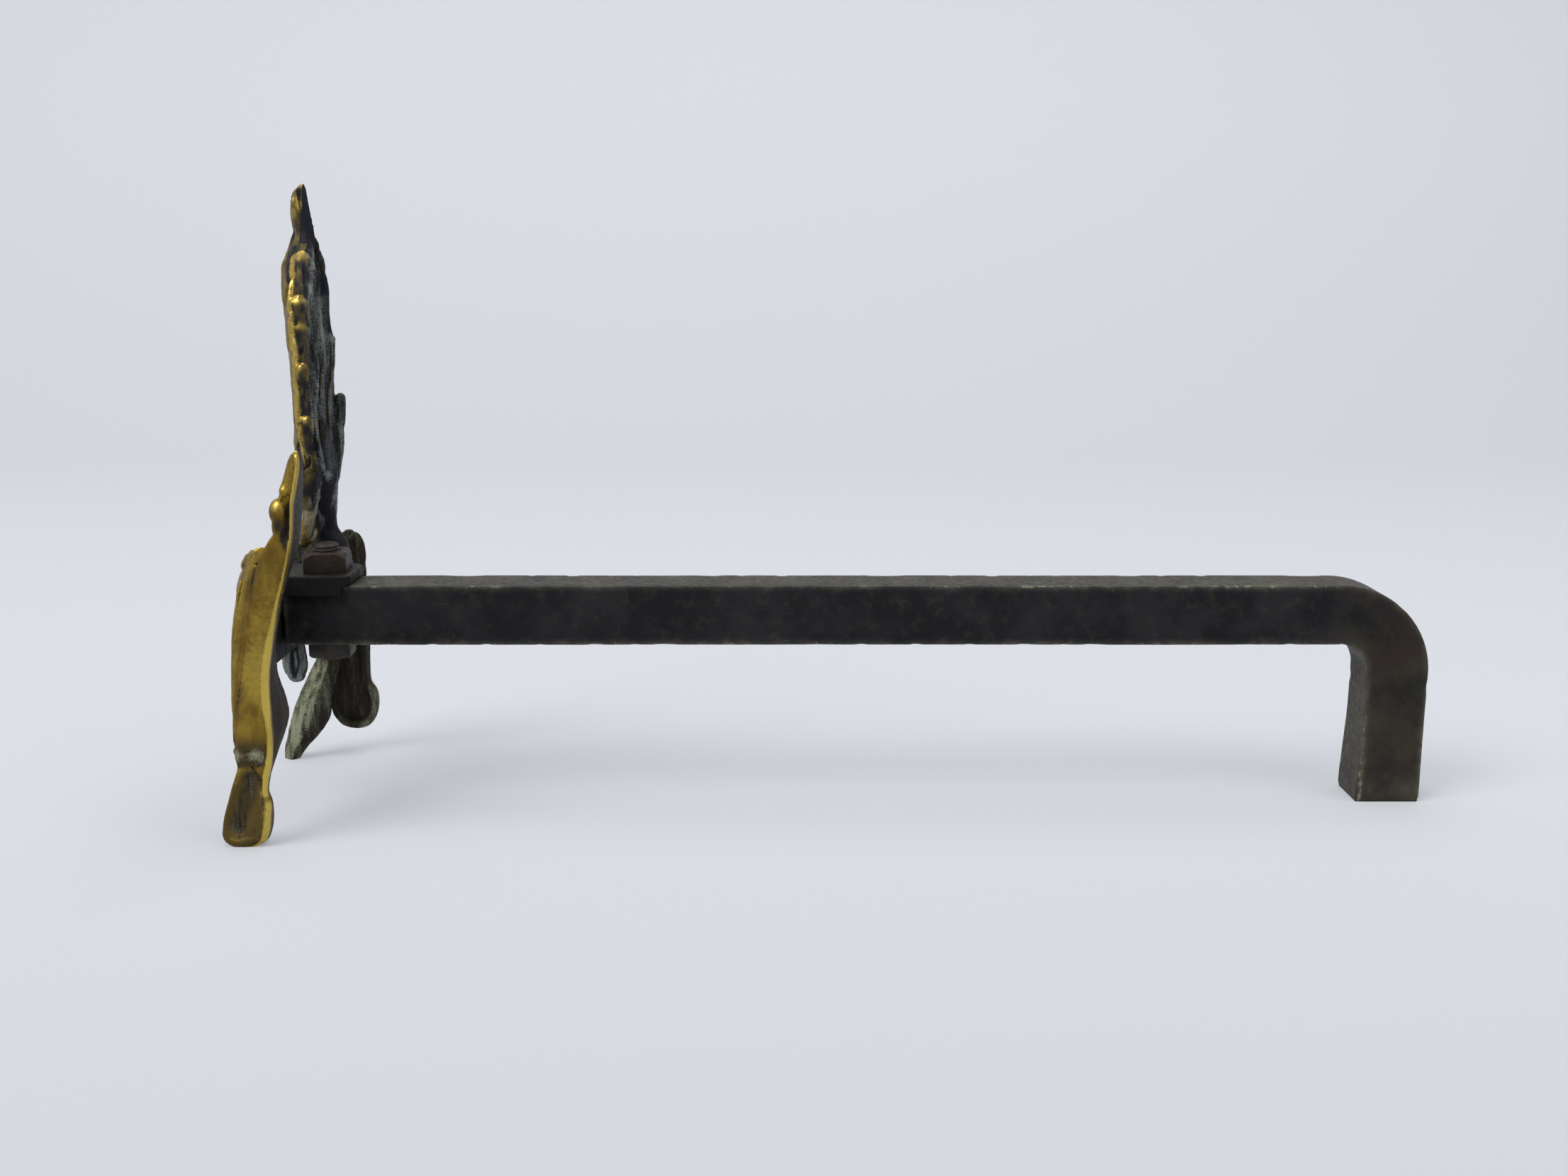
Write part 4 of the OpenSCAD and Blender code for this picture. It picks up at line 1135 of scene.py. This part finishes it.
def horn():
    """The plume's tip: four-sided, with a sharp ridge on its near side."""
    z = np.array([224, 228, 231, 234, 238, 243, 247, 250, 251.6])
    fore = along(PLUME_RIB, z) + [1.5, 0.7, 0, 0, 0, 0, 0, 0.2, 0.6]
    ridge = [13.2, 13.8, 14.4, 14.6, 14.9, 15.2, 15.4, 15.5, 15.4]
    back = [18.0, 18.6, 18.7, 18.6, 18.1, 17.6, 17.0, 16.6, 16.0]
    deep = np.array([5.2, 4.6, 4.0, 3.6, 3.4, 3.0, 2.3, 1.4, 0.6])
    heights = np.linspace(z[0], z[-1], 60)
    corners = []
    for f, side in ((fore, 0), (ridge, -1), (back, 0), (ridge, 1)):
        y = along(PLUME_DRIFT, z) + side * deep
        corners.append(places(along(places(z, f), heights), along(places(z, y), heights), heights))
    return ring_skin(np.stack(polygon(corners, 6), 1))


def stem():
    """Stem with its heel on the lug, and its root under it, made as a plain rod without the thread."""
    rise = np.linspace(0, STEM_HIGH, 70)[:, None]
    r = along(STEM_R, rise)
    cos, sin = circle(40)
    f = ROOT_X + along(STEM_PATH, rise) + r * cos
    y = ROOT_Y + along(STEM_SIDE, rise) + 0.85 * r * sin
    root = [(ROOT_X, ROOT_Y, ROOT_LOW + 3), (ROOT_X, ROOT_Y, LUG_TOP + 4)]
    return [ring_skin(places(f, y, LUG_TOP + rise)), tube(root, [3.0, 3.0], 20, 24)]


def edge_rims():
    """Lines on the two sides of the tongues, the bright one first."""
    h = np.linspace(132, 223, 60)
    mid = along(EDGE_MID, h)
    wide = along(EDGE_HALF, h)
    return places(mid - wide, near_y(h) + 4.2, h), places(mid + wide, near_y(h) + 4.8, h)


def fold_lines():
    return [[leaf_at(t, h, 3.4) for t, h in fold] for fold, _ in FOLDS]


def plume_forms():
    """Feathered leaf on its stem, with its tip and its heel on the lug."""
    t = np.linspace(-0.92, 0.95, 90)[:, None]
    h = np.linspace(110, 250, 210)
    thick = mix(4.2, 2.4, np.abs(t)) * along([(110, 0.9), (230, 1), (244, 1), (250, 0.3)], h)
    leaf = leaf_at(t, h, 0.5)
    forms = [two_sided(leaf, leaf + places(thick, 0, 0)), near_edge(), horn()]
    forms += [tongue(*lobe[:6]) for lobe in TONGUES]
    rims = edge_rims()
    far_h = np.linspace(118, 240, 60)
    far_y = along(PLUME_DRIFT, far_h) + 0.95 * along(PLUME_HALF, far_h)
    rib_h = np.array([126, 140, 160, 180, 200, 216, 226, 233])
    rib = places(along(PLUME_RIB, rib_h) + 2.1, along(PLUME_DRIFT, rib_h), rib_h)
    # The edge runs on down into the small lobe beside the stem
    run_down = [(13.0, 0.5, 142), (10.8, 3.0, 135), (8.2, 6.0, 128), (7.4, 9.2, 119)]
    small = [(4.9, 8.0, 106.6), (6.2, 7.8, 111.5), (7.2, 7.8, 117), (7.3, 8.2, 122), (6.9, 9.0, 126.6)]
    forms += tubes(
        (rims[0], [0.7, 1.2, 1.2, 1.2, 1.2, 0.6], 140, 12),
        (rims[1], [0.7, 1.0, 1.0, 1.0, 1.0, 0.6], 140, 12),
        (run_down, [2.8, 3.6, 3.6, 2.6], 40, 16, 1.2),
        (places(along(FAR_EDGE, far_h) - 1.6, far_y, far_h), [1.2, 1.5, 1.5, 1.5, 1.5, 1.2], 140, 12),
        (rib, [2.0, 2.2, 2.3, 2.3, 2.2, 2.1, 2.0], 80, 14),
        *((path, radii, 50, 16) for path, radii in FAR_LOBES),
        *((path, radii, 70, 12) for path, (_, radii) in zip(fold_lines(), FOLDS)),
        (small, [2.0, 2.8, 2.9, 2.3, 0.8], 40, 16, 0.95),
        ([(7.0, 9.0, 107.5), (9.0, 13.0, 112), (10.0, 15.0, 122)], [1.6, 2.6, 3.0], 30, 14),
    )
    return forms + stem()


def tongue_tips(f, y, z):
    """How brightly the tongues' gilt tips and brims are painted at each place, a painted highlight on their
    rounded tops.
    """
    proud = np.zeros(len(z))
    for tip, foot, half, mid_top, mid_foot, _, share in TONGUES:
        below = tip - z
        mid = mix(mid_top, mid_foot, np.clip(below / (tip - foot), 0, 1))
        inside = half - np.hypot(f - mid, np.minimum(below - half, 0))
        over = ease(inside, -0.7, 0.2) * ease(-below, 0.8, 0)
        brim = ease(inside, 1.7, 0.8) * ease(below, 9, 4) * 0.6
        proud = most(proud, share * over * most(brim, ease(below, 5.2, 0.8)))
    return proud * ease(near_y(z) + 4.2 - y, 0, 1.6)


def plume_relief(p, n):
    back = ease(n[:, 0], 0.0, 0.5)
    leaf = ease(p[:, 2], 128, 145)
    veins, rib = front_veins(p, n)
    folds = streaks(p, 0.06, 1.9, 41) * 0.5 * back * leaf
    front = streaks(p, 0.10, 1.6, 42) * 0.3 * (1 - back) * leaf - (1.5 * veins + 0.2 * rib)
    return folds + front + dents(p, (0.16, 3.4, 43), (0.09, 1.3, 44))


def plume_wear_and_light(p, n):
    f, y, z = p.T
    nx, ny, _ = n.T
    back = ease(nx, -0.15, 0.35)
    edge = ease(near_y(z) + 8.5 - y, 0, 2) * ease(z, 130, 136) * ease(z, 231, 227)
    tips = tongue_tips(f, y, z)
    rim = near_curve(p, edge_rims()[0], 1.9, 4) * ease(z, 134, 150)
    # Hollows under the tongues' tips, where shade is painted
    shaded_hollow = edge * ease(y - near_y(z), 1.2, 3.4) * (1 - rim)
    horn_part = ease(z, 226, 231)
    ridge = along([(224, 13.2), (231, 14.4), (238, 14.9), (247, 15.4), (252, 15.4)], z)
    horn_gold = horn_part * ease(ridge - f, -0.3, 0.3) * (0.5 + 0.35 * noise(p, 3, 47))
    horn_gold *= 1 - 0.85 * bell(z, 232.6, 2.6) * ease(f, 12.2, 10.5)
    strip = ease(-nx, 0.0, 0.5) * (1 - edge) * ease(z, 132, 150) * (1 - horn_part)
    veins, rib = front_veins(p, n)
    # Painted light on the near side of the stem's foot, toward the lamps: more gold and bloom, less dark
    painted_lit_side = ease(z, 129, 125) * ease(-ny, 0.0, 0.5) * ease(10.8 - f, 0, 1.5) * ease(y, 14, 10)
    gold = most(strip * (0.34 + 0.4 * rib), tips * (1 - back * 0.85), horn_gold * 0.7)
    gold = most(gold, rim * 0.9, painted_lit_side * 0.28, edge * 0.17)

    stem_part = ease(z, 140, 128)
    lobe = near_curve(p, np.concatenate([spline(path, 30) for path, _ in FAR_LOBES]), 3.4, 4)
    darkening = 0.8 + 0.4 * noise(p, 2.6, 48)
    behind = back * (1 - edge * 0.25) * 0.95
    # Painted shade, mottled, in those hollows and down the near edge below the tongues' tips
    dark = most(lobe * 0.8, behind, veins * 0.8, strip * 0.12, shaded_hollow * darkening, edge * 0.74 * darkening)
    dark = most(dark, stem_part * 0.78, horn_part * 0.95)
    dark = dark * (1 - tips) * (1 - horn_gold) * (1 - 0.7 * painted_lit_side) * (1 - 0.6 * rim)

    crest = most(*(near_curve(p, spline(path, 60), 2.0) for path in fold_lines()))
    bloom_and_lit_side = most(
        back * ease(z, 128, 140) * (0.26 + 0.34 * crest),
        shaded_hollow * most(0.8 * bell(z, 213, 4), 0.35 * bell(z, 188, 4)) * 0.35,
        edge * ease(f - along(EDGE_MID, z), 1.5, 3.2) * 0.5,
        stem_part * ease(nx, 0.3, 0.9) * ease(z, 108, 122) * 0.6,
        stem_part * 0.12,
        painted_lit_side * 0.35,
        spot(p, leaf_at(0.9, 190, 4.0), 3),
        lobe * 0.5,
    )
    return dict(gold=gold, dark=dark, bloom_and_lit_side=bloom_and_lit_side * (1 - 0.8 * horn_part))


def plume(material):
    """Feathered plume, its folded back and near edge as the photograph shows them."""
    obj = cast("plume_cast", plume_forms(), plume_relief, voxel=0.45, keep=0.55)
    finish_piece(obj, plume_wear_and_light, material, "plume")


# ---------------------------------------------------------------- pendant

PENDANT_Y = 15
# The tongue that its rivet holds
PENDANT_TONGUE_HALF = 5.8
PENDANT_TONGUE_DEEP = 3.0


def pendant_forms():
    """Two stalks, the bulges of the lobes round them, and the tongue above."""
    fore = [(-6.3, 66), (-6.5, 60), (-6.3, 53), (-5.0, 48.2)]
    back = [(-1.6, 61.5), (-1.3, 57), (-1.2, 52.4), (-2.4, 48.6)]
    deep = (FLANGE_FORE - PENDANT_TONGUE_DEEP, FLANGE_FORE)
    wide = (PENDANT_Y - PENDANT_TONGUE_HALF, PENDANT_Y + PENDANT_TONGUE_HALF)
    return [
        tube([(f, PENDANT_Y, z) for f, z in fore], [2.5, 2.8, 2.8, 2.8], 40, 18),
        tube([(f, PENDANT_Y, z) for f, z in back], [1.9, 2.2, 2.4, 2.6], 40, 18),
        ball((-5.0, 11.4, 55), (3.6, 2.6, 7.2)),
        ball((-4.4, 18.4, 54), (3.9, 2.6, 7.0)),
        ball((-3.8, PENDANT_Y, 48.2), (3.9, 3.8, 3.4)),
        block(deep, wide, (60, box_mm("pendant_drop")[1][2]), 10),
    ]


def pendant_relief(p, n):
    return dents(p, (0.15, 3.0, 51), (0.06, 1.2, 52))


def pendant_wear(p, n):
    seen = ease(-n[:, 1], 0.2, 0.8)
    groove = np.exp(-((p[:, 0] + 3.6) ** 2) / 0.9) * ease(p[:, 2], 46, 49)
    return dict(gold=0, dark=0.75 + 0.25 * groove, bloom_and_lit_side=0.9 * seen * (1 - groove))


def pendant(material):
    """Two-lobed drop under the shell, on its tongue."""
    obj = cast("pendant_cast", pendant_forms(), pendant_relief, voxel=0.4)
    finish_piece(obj, pendant_wear, material, "pendant_drop")


# ------------------------------------------------------------------- rail


def section():
    """The bar's rounded section, across and up."""
    arcs = []
    for i, (across, up) in enumerate(((1, 1), (-1, 1), (-1, -1), (1, -1))):
        a = np.radians(np.linspace(i * 90, i * 90 + 90, 6))
        centre = (across * (RAIL_W / 2 - ARRIS_R), up * (RAIL_H / 2 - ARRIS_R))
        arcs.append(centre + ARRIS_R * places(np.cos(a), np.sin(a)))
    points = []
    for arc, after in zip(arcs, arcs[1:] + arcs[:1]):
        points += [*arc, *(mix(arc[-1], after[0], t) for t in np.linspace(0, 1, 11)[1:-1])]
    return np.array(points)


def arris_near(p):
    """1 on the long edges of the bar and of its leg, 0 on its faces."""
    f, y, z = p.T
    df = f - (LENGTH - BEND_OUT)
    dz = z - (RAIL_TOP - BEND_OUT)
    radial = np.where(df < 0, dz, np.where(dz < 0, df, np.hypot(df, dz)))
    off = np.abs(np.abs(radial - BEND_R - RAIL_H / 2) - RAIL_H / 2)
    side = np.abs(np.abs(y) - RAIL_W / 2)
    return bell(np.minimum(np.hypot(off, side), np.hypot(f, np.minimum(off, side))), 0, 1.5)


def cut_bore(obj):
    """Cuts the clamp bolt's hole through the bar. The hole's corners are
    turned off the bar's own mesh lines, so that no slivers are left."""
    cos, sin = circle(48, 0.08)
    r = BOLT_D / 2 + BORE_PLAY
    ends = np.array([[RAIL_BOTTOM - 3], [RAIL_TOP + 3]])
    cutter = new_object("bore_cutter", *ring_skin(places(BOLT_X + r * cos, r * sin, ends)))
    cut = obj.modifiers.new("bore", "BOOLEAN")
    cut.operation = "DIFFERENCE"
    cut.solver = "MANIFOLD"
    cut.object = cutter
    apply_modifiers(obj)
    bpy.data.objects.remove(cutter)


def bar_rings():
    """Rings of the bar, from its fore end round the bend to its foot."""
    bend = np.radians(np.linspace(90, 0, 34))[1:]
    cos, sin = np.cos(bend), np.sin(bend)
    mid_r = BEND_R + RAIL_H / 2
    # Middle of each ring (f, z), and which way its top faces
    path = np.concatenate([
        places(np.linspace(0, LENGTH - BEND_OUT, 190), RAIL_TOP - RAIL_H / 2, 0, 1),
        places(LENGTH - BEND_OUT + mid_r * cos, RAIL_TOP - BEND_OUT + mid_r * sin, cos, sin),
        places(LENGTH - RAIL_H / 2, np.linspace(RAIL_TOP - BEND_OUT, 0, 26)[1:], 1, 0),
    ])
    f, z, out_f, out_z = path.T[..., None]
    across, up = section().T
    # The foot is hammered a little broader toward the andiron's front
    flare = 1.8 * ease(z, 42, 0) * (0.5 - up / RAIL_H)
    worn_off = np.where(z < 0.5, 0.96, 1.0)
    return places(f - flare + out_f * up * worn_off, across * worn_off, z + out_z * up)


def rail_relief(p, n):
    nick = ease(noise(p, 5.5, 61), 0.3, 0.8) * arris_near(p) * 0.35
    dent = dents(p, (0.1, 30, 62), (0.05, 8, 63), (0.03, 2.4, 64)) - 0.14
    return np.where(p[:, 2] < 0.6, 0, dent - nick)


def rail_wear(p, n):
    f, _, z = p.T
    top = ease(n[:, 2], 0.3, 0.8)
    rear = ease(f, LENGTH - 60, LENGTH - 22)
    inner = rear * ease(z, 66, 50) * ease(-n[:, 0], 0.2, 0.8)
    dust = ease(z, 16, 3) * (0.5 + 0.4 * noise(p, 7, 67))
    arris = arris_near(p) * (0.6 + 0.35 * noise(p, 18, 65))
    return dict(
        worn=most(arris, top * 0.3, inner * 0.35, dust * 0.6),
        rust=most(rear * 0.72, top * 0.7, inner) + 0.14 * noise(p, 20, 66),
    )


def rail(material):
    """Forged bar, bent down into its rear leg, worn along its arrises."""
    obj = new_object("rail_forged", *ring_skin(bar_rings()))
    smooth(obj)
    finer = obj.modifiers.new("finer", "SUBSURF")
    finer.subdivision_type = "SIMPLE"
    finer.levels = 1
    apply_modifiers(obj)
    carve(obj, rail_relief)
    keep_within(obj, [0, -RAIL_W / 2, 0], [LENGTH, RAIL_W / 2, RAIL_TOP])
    cut_bore(obj)
    smooth(obj)
    finish_piece(obj, rail_wear, material, "fire_rail")


# ------------------------------------------------------- lug, nut and bolt


def lug_wear(p, n):
    top = ease(n[:, 2], 0.3, 0.8)
    corner = ease(p[:, 0], 23, 28) * ease(p[:, 2], RAIL_TOP - 1, RAIL_TOP + 3)
    return dict(gold=corner * 0.22, dark=0.9 - 0.35 * top, bloom_and_lit_side=0.1 * top + 0.12 * corner + 0.04)


def lug(material):
    """Bronze lug: its cast plate, lips and upright flange, edges softened."""
    layers = [(0.12, 4, 71), (0.05, 1.5, 72)]
    obj = softened("mounting_lug", "lug_cast", layers, voxel=0.45, relax=4, keep=0.5)
    finish_piece(obj, lug_wear, material, "mounting_lug")


def nut_wear(p, n):
    return dict(worn=0.45 * ease(n[:, 2], 0.2, 0.7) * ease(p[:, 2], LUG_TOP + 5, LUG_TOP + 8), rust=0.75)


def nut(material):
    """Square nut with eased corners."""
    layers = [(0.16, 3.2, 81), (0.07, 1.2, 82)]
    obj = softened("clamp_nut", "nut_worn", layers, voxel=0.32, relax=5, keep=0.6)
    finish_piece(obj, nut_wear, material, "clamp_nut")


def shank(tip):
    """The bolt's round shank, with a rolled thread at its top."""
    sides = 60
    cos, sin = circle(sides)
    turn = np.linspace(0, 1, sides, endpoint=False)
    z = np.arange(RAIL_BOTTOM - 1, tip + 0.01, 0.25)[:, None]
    tooth = np.abs((z / THREAD_PITCH - turn) % 1 - 0.5) * 2
    chamfer = np.maximum(0, z - (tip - CHAMFER)) * 1.1
    thread = np.maximum(THREAD_DEEP * tooth, chamfer)
    r = BOLT_D / 2 - np.where(z < RAIL_TOP - THREAD_RUN, 0.1, thread)
    return ring_skin(places(BOLT_X + r * cos, r * sin, z))


def hexagon(low, width):
    """The bolt's head under the bar, its rims eased."""
    head = RAIL_BOTTOM - low
    corners = [np.array([math.cos(a), math.sin(a)]) for a in np.radians(np.arange(30, 390, 60))]
    f, y = np.array(polygon(corners, 8)).T * width / 2
    levels = [(0, 0.86), (0, 0.9), (1.1, 1.0), (head * 0.5, 1.0), (head - 0.2, 1.0), (head, 0.97)]
    return ring_skin(np.array([places(BOLT_X + f * k, y * k, low + up) for up, k in levels]))


def bolt_wear(p, n):
    return dict(worn=0.3, rust=0.5)


def bolt(material):
    """Hexagon bolt, up through the bar and the lug."""
    low, high = box_mm("clamp_bolt")
    obj = new_object("bolt_threaded", *joined([shank(high[2]), hexagon(low[2], high[1] - low[1])]))
    smooth(obj)
    obj.modifiers.new("edges", "EDGE_SPLIT").split_angle = math.radians(40)
    apply_modifiers(obj)
    finish_piece(obj, bolt_wear, material, "clamp_bolt")


# ------------------------------------------------------------------ stage

FLOOR_COLOUR = (0.61, 0.625, 0.66)
NEAR_COLOUR = (0.40, 0.41, 0.435)
WALL_COLOUR = (0.705, 0.715, 0.745)
# The sweep, in metres
SWEEP_FRONT = -2.2
SWEEP_BEND = 1.1
SWEEP_R = 1.0
SWEEP_TOP = 3.2
SWEEP_HALF = 3.4
# Name, place, what it points at, sides, power and colour of each lamp
LAMPS = [
    ("key", (-2.0, -1.6, 2.6), (-0.05, 0, 0.08), (1.9, 1.9), 84, (1.0, 0.98, 0.95)),
    ("top", (0.3, 0.2, 2.2), (0, 0.1, 0), (2.4, 2.0), 30, (0.96, 0.98, 1.0)),
    ("fill", (1.5, -1.2, 0.9), (0, 0, 0.08), (1.2, 1.2), 9, (0.95, 0.97, 1.0)),
]


def stage():
    """Pale sweep: a floor that curves up into a wall behind the object."""
    bend = np.linspace(0, math.pi / 2, 24)
    ys = [SWEEP_FRONT, *(SWEEP_BEND + SWEEP_R * np.sin(bend)), SWEEP_BEND + SWEEP_R]
    zs = [0, *(SWEEP_R - SWEEP_R * np.cos(bend)), SWEEP_TOP]
    points = [(x, y, z) for y, z in zip(ys, zs) for x in (-SWEEP_HALF, SWEEP_HALF)]
    faces = [(a, a + 1, a + 3, a + 2) for a in range(0, len(points) - 2, 2)]
    mesh = bpy.data.meshes.new("sweep")
    mesh.from_pydata(points, [], faces)
    sweep = add_object("sweep", mesh)
    smooth(sweep)
    n = Material("sweep_paper")
    n.feed(n.shader, {"Base Color": FLOOR_COLOUR, "Roughness": 0.9, "Specular IOR Level": 0.0})
    # As the camera sees it, a little under half of the paper's level is its
    # own, so that the shadows on it stay as faint as in a softbox
    where = n.add("SeparateXYZ", {0: n.where}).outputs
    floor = n.blend(n.span(where[1], -0.45, 0.15), NEAR_COLOUR, FLOOR_COLOUR)
    glow = n.add("Emission", {"Color": n.blend(n.span(where[2], -0.1, 0.5), floor, WALL_COLOUR)})
    n.choose(n.times(n.background_ray(), 0.45), n.shader, glow, "Material Output")
    coat(sweep, n.owner)


def area_light(name, at, toward, size, power, colour):
    data = bpy.data.lights.new(name, "AREA")
    data.shape = "RECTANGLE"
    data.size, data.size_y = size
    data.energy = power
    data.color = colour
    lamp = add_object(name, data)
    lamp.location = at
    lamp.rotation_euler = (Vector(toward) - Vector(at)).to_track_quat("-Z", "Y").to_euler()


def light():
    """Soft studio light, mostly from the left and above."""
    n = Nodes(bpy.data.worlds.new("studio"))
    sky = n.tree.nodes["Background"]
    n.feed(sky, {"Color": (0.93, 0.96, 1.0), "Strength": 0.45})
    seen = n.add("Background", {"Color": WALL_COLOUR, "Strength": 1.0})
    n.choose(n.background_ray(), sky, seen, "World Output")
    bpy.context.scene.world = n.owner
    for lamp in LAMPS:
        area_light(*lamp)


# ------------------------------------------------------------- the picture

add_camera()
stage()
light()

GILT = bronze(
    "gilt_bronze",
    ochre=(0.285, 0.19, 0.03),
    ochre_dark=(0.15, 0.09, 0.018),
    gold=(0.55, 0.41, 0.085),
    dark=(0.021, 0.0172, 0.013),
    bloom_and_lit_side=(0.25, 0.265, 0.175),
)
PATINA = bronze(
    "patina_bronze",
    ochre=(0.19, 0.135, 0.035),
    ochre_dark=(0.085, 0.06, 0.02),
    gold=(0.50, 0.36, 0.085),
    dark=(0.0155, 0.0155, 0.0195),
    bloom_and_lit_side=(0.225, 0.24, 0.22),
)
DARK = bronze(
    "lug_bronze",
    ochre=(0.05, 0.042, 0.022),
    ochre_dark=(0.025, 0.02, 0.012),
    gold=(0.3, 0.24, 0.08),
    dark=(0.009, 0.009, 0.009),
    bloom_and_lit_side=(0.11, 0.12, 0.08),
)
IRON = iron(
    "forged_iron",
    base=(0.0042, 0.0043, 0.006),
    base_light=(0.0115, 0.0115, 0.0135),
    worn=(0.24, 0.23, 0.165),
    brown=(0.03, 0.026, 0.015),
    red=(0.021, 0.0145, 0.0115),
)
RUST = iron(
    "rusted_iron",
    base=(0.006, 0.0045, 0.004),
    base_light=(0.012, 0.009, 0.008),
    worn=(0.12, 0.10, 0.08),
    brown=(0.022, 0.016, 0.011),
    red=(0.017, 0.011, 0.009),
)
STEEL = iron(
    "dark_steel",
    base=(0.010, 0.009, 0.008),
    base_light=(0.02, 0.018, 0.015),
    worn=(0.16, 0.15, 0.13),
    brown=(0.025, 0.018, 0.013),
    red=(0.02, 0.013, 0.01),
)

near_leg(GILT)
far_leg(GILT)
shell(GILT)
plume(PATINA)
pendant(PATINA)
rail(IRON)
lug(DARK)
nut(RUST)
bolt(STEEL)
for node in ("plume_root_nut", "lug_screws", "near_leg_screws", "far_leg_screws"):
    coat(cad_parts[node], STEEL)
coat(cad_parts["pendant_rivet"], PATINA)

bpy.context.scene.view_settings.view_transform = "Standard"
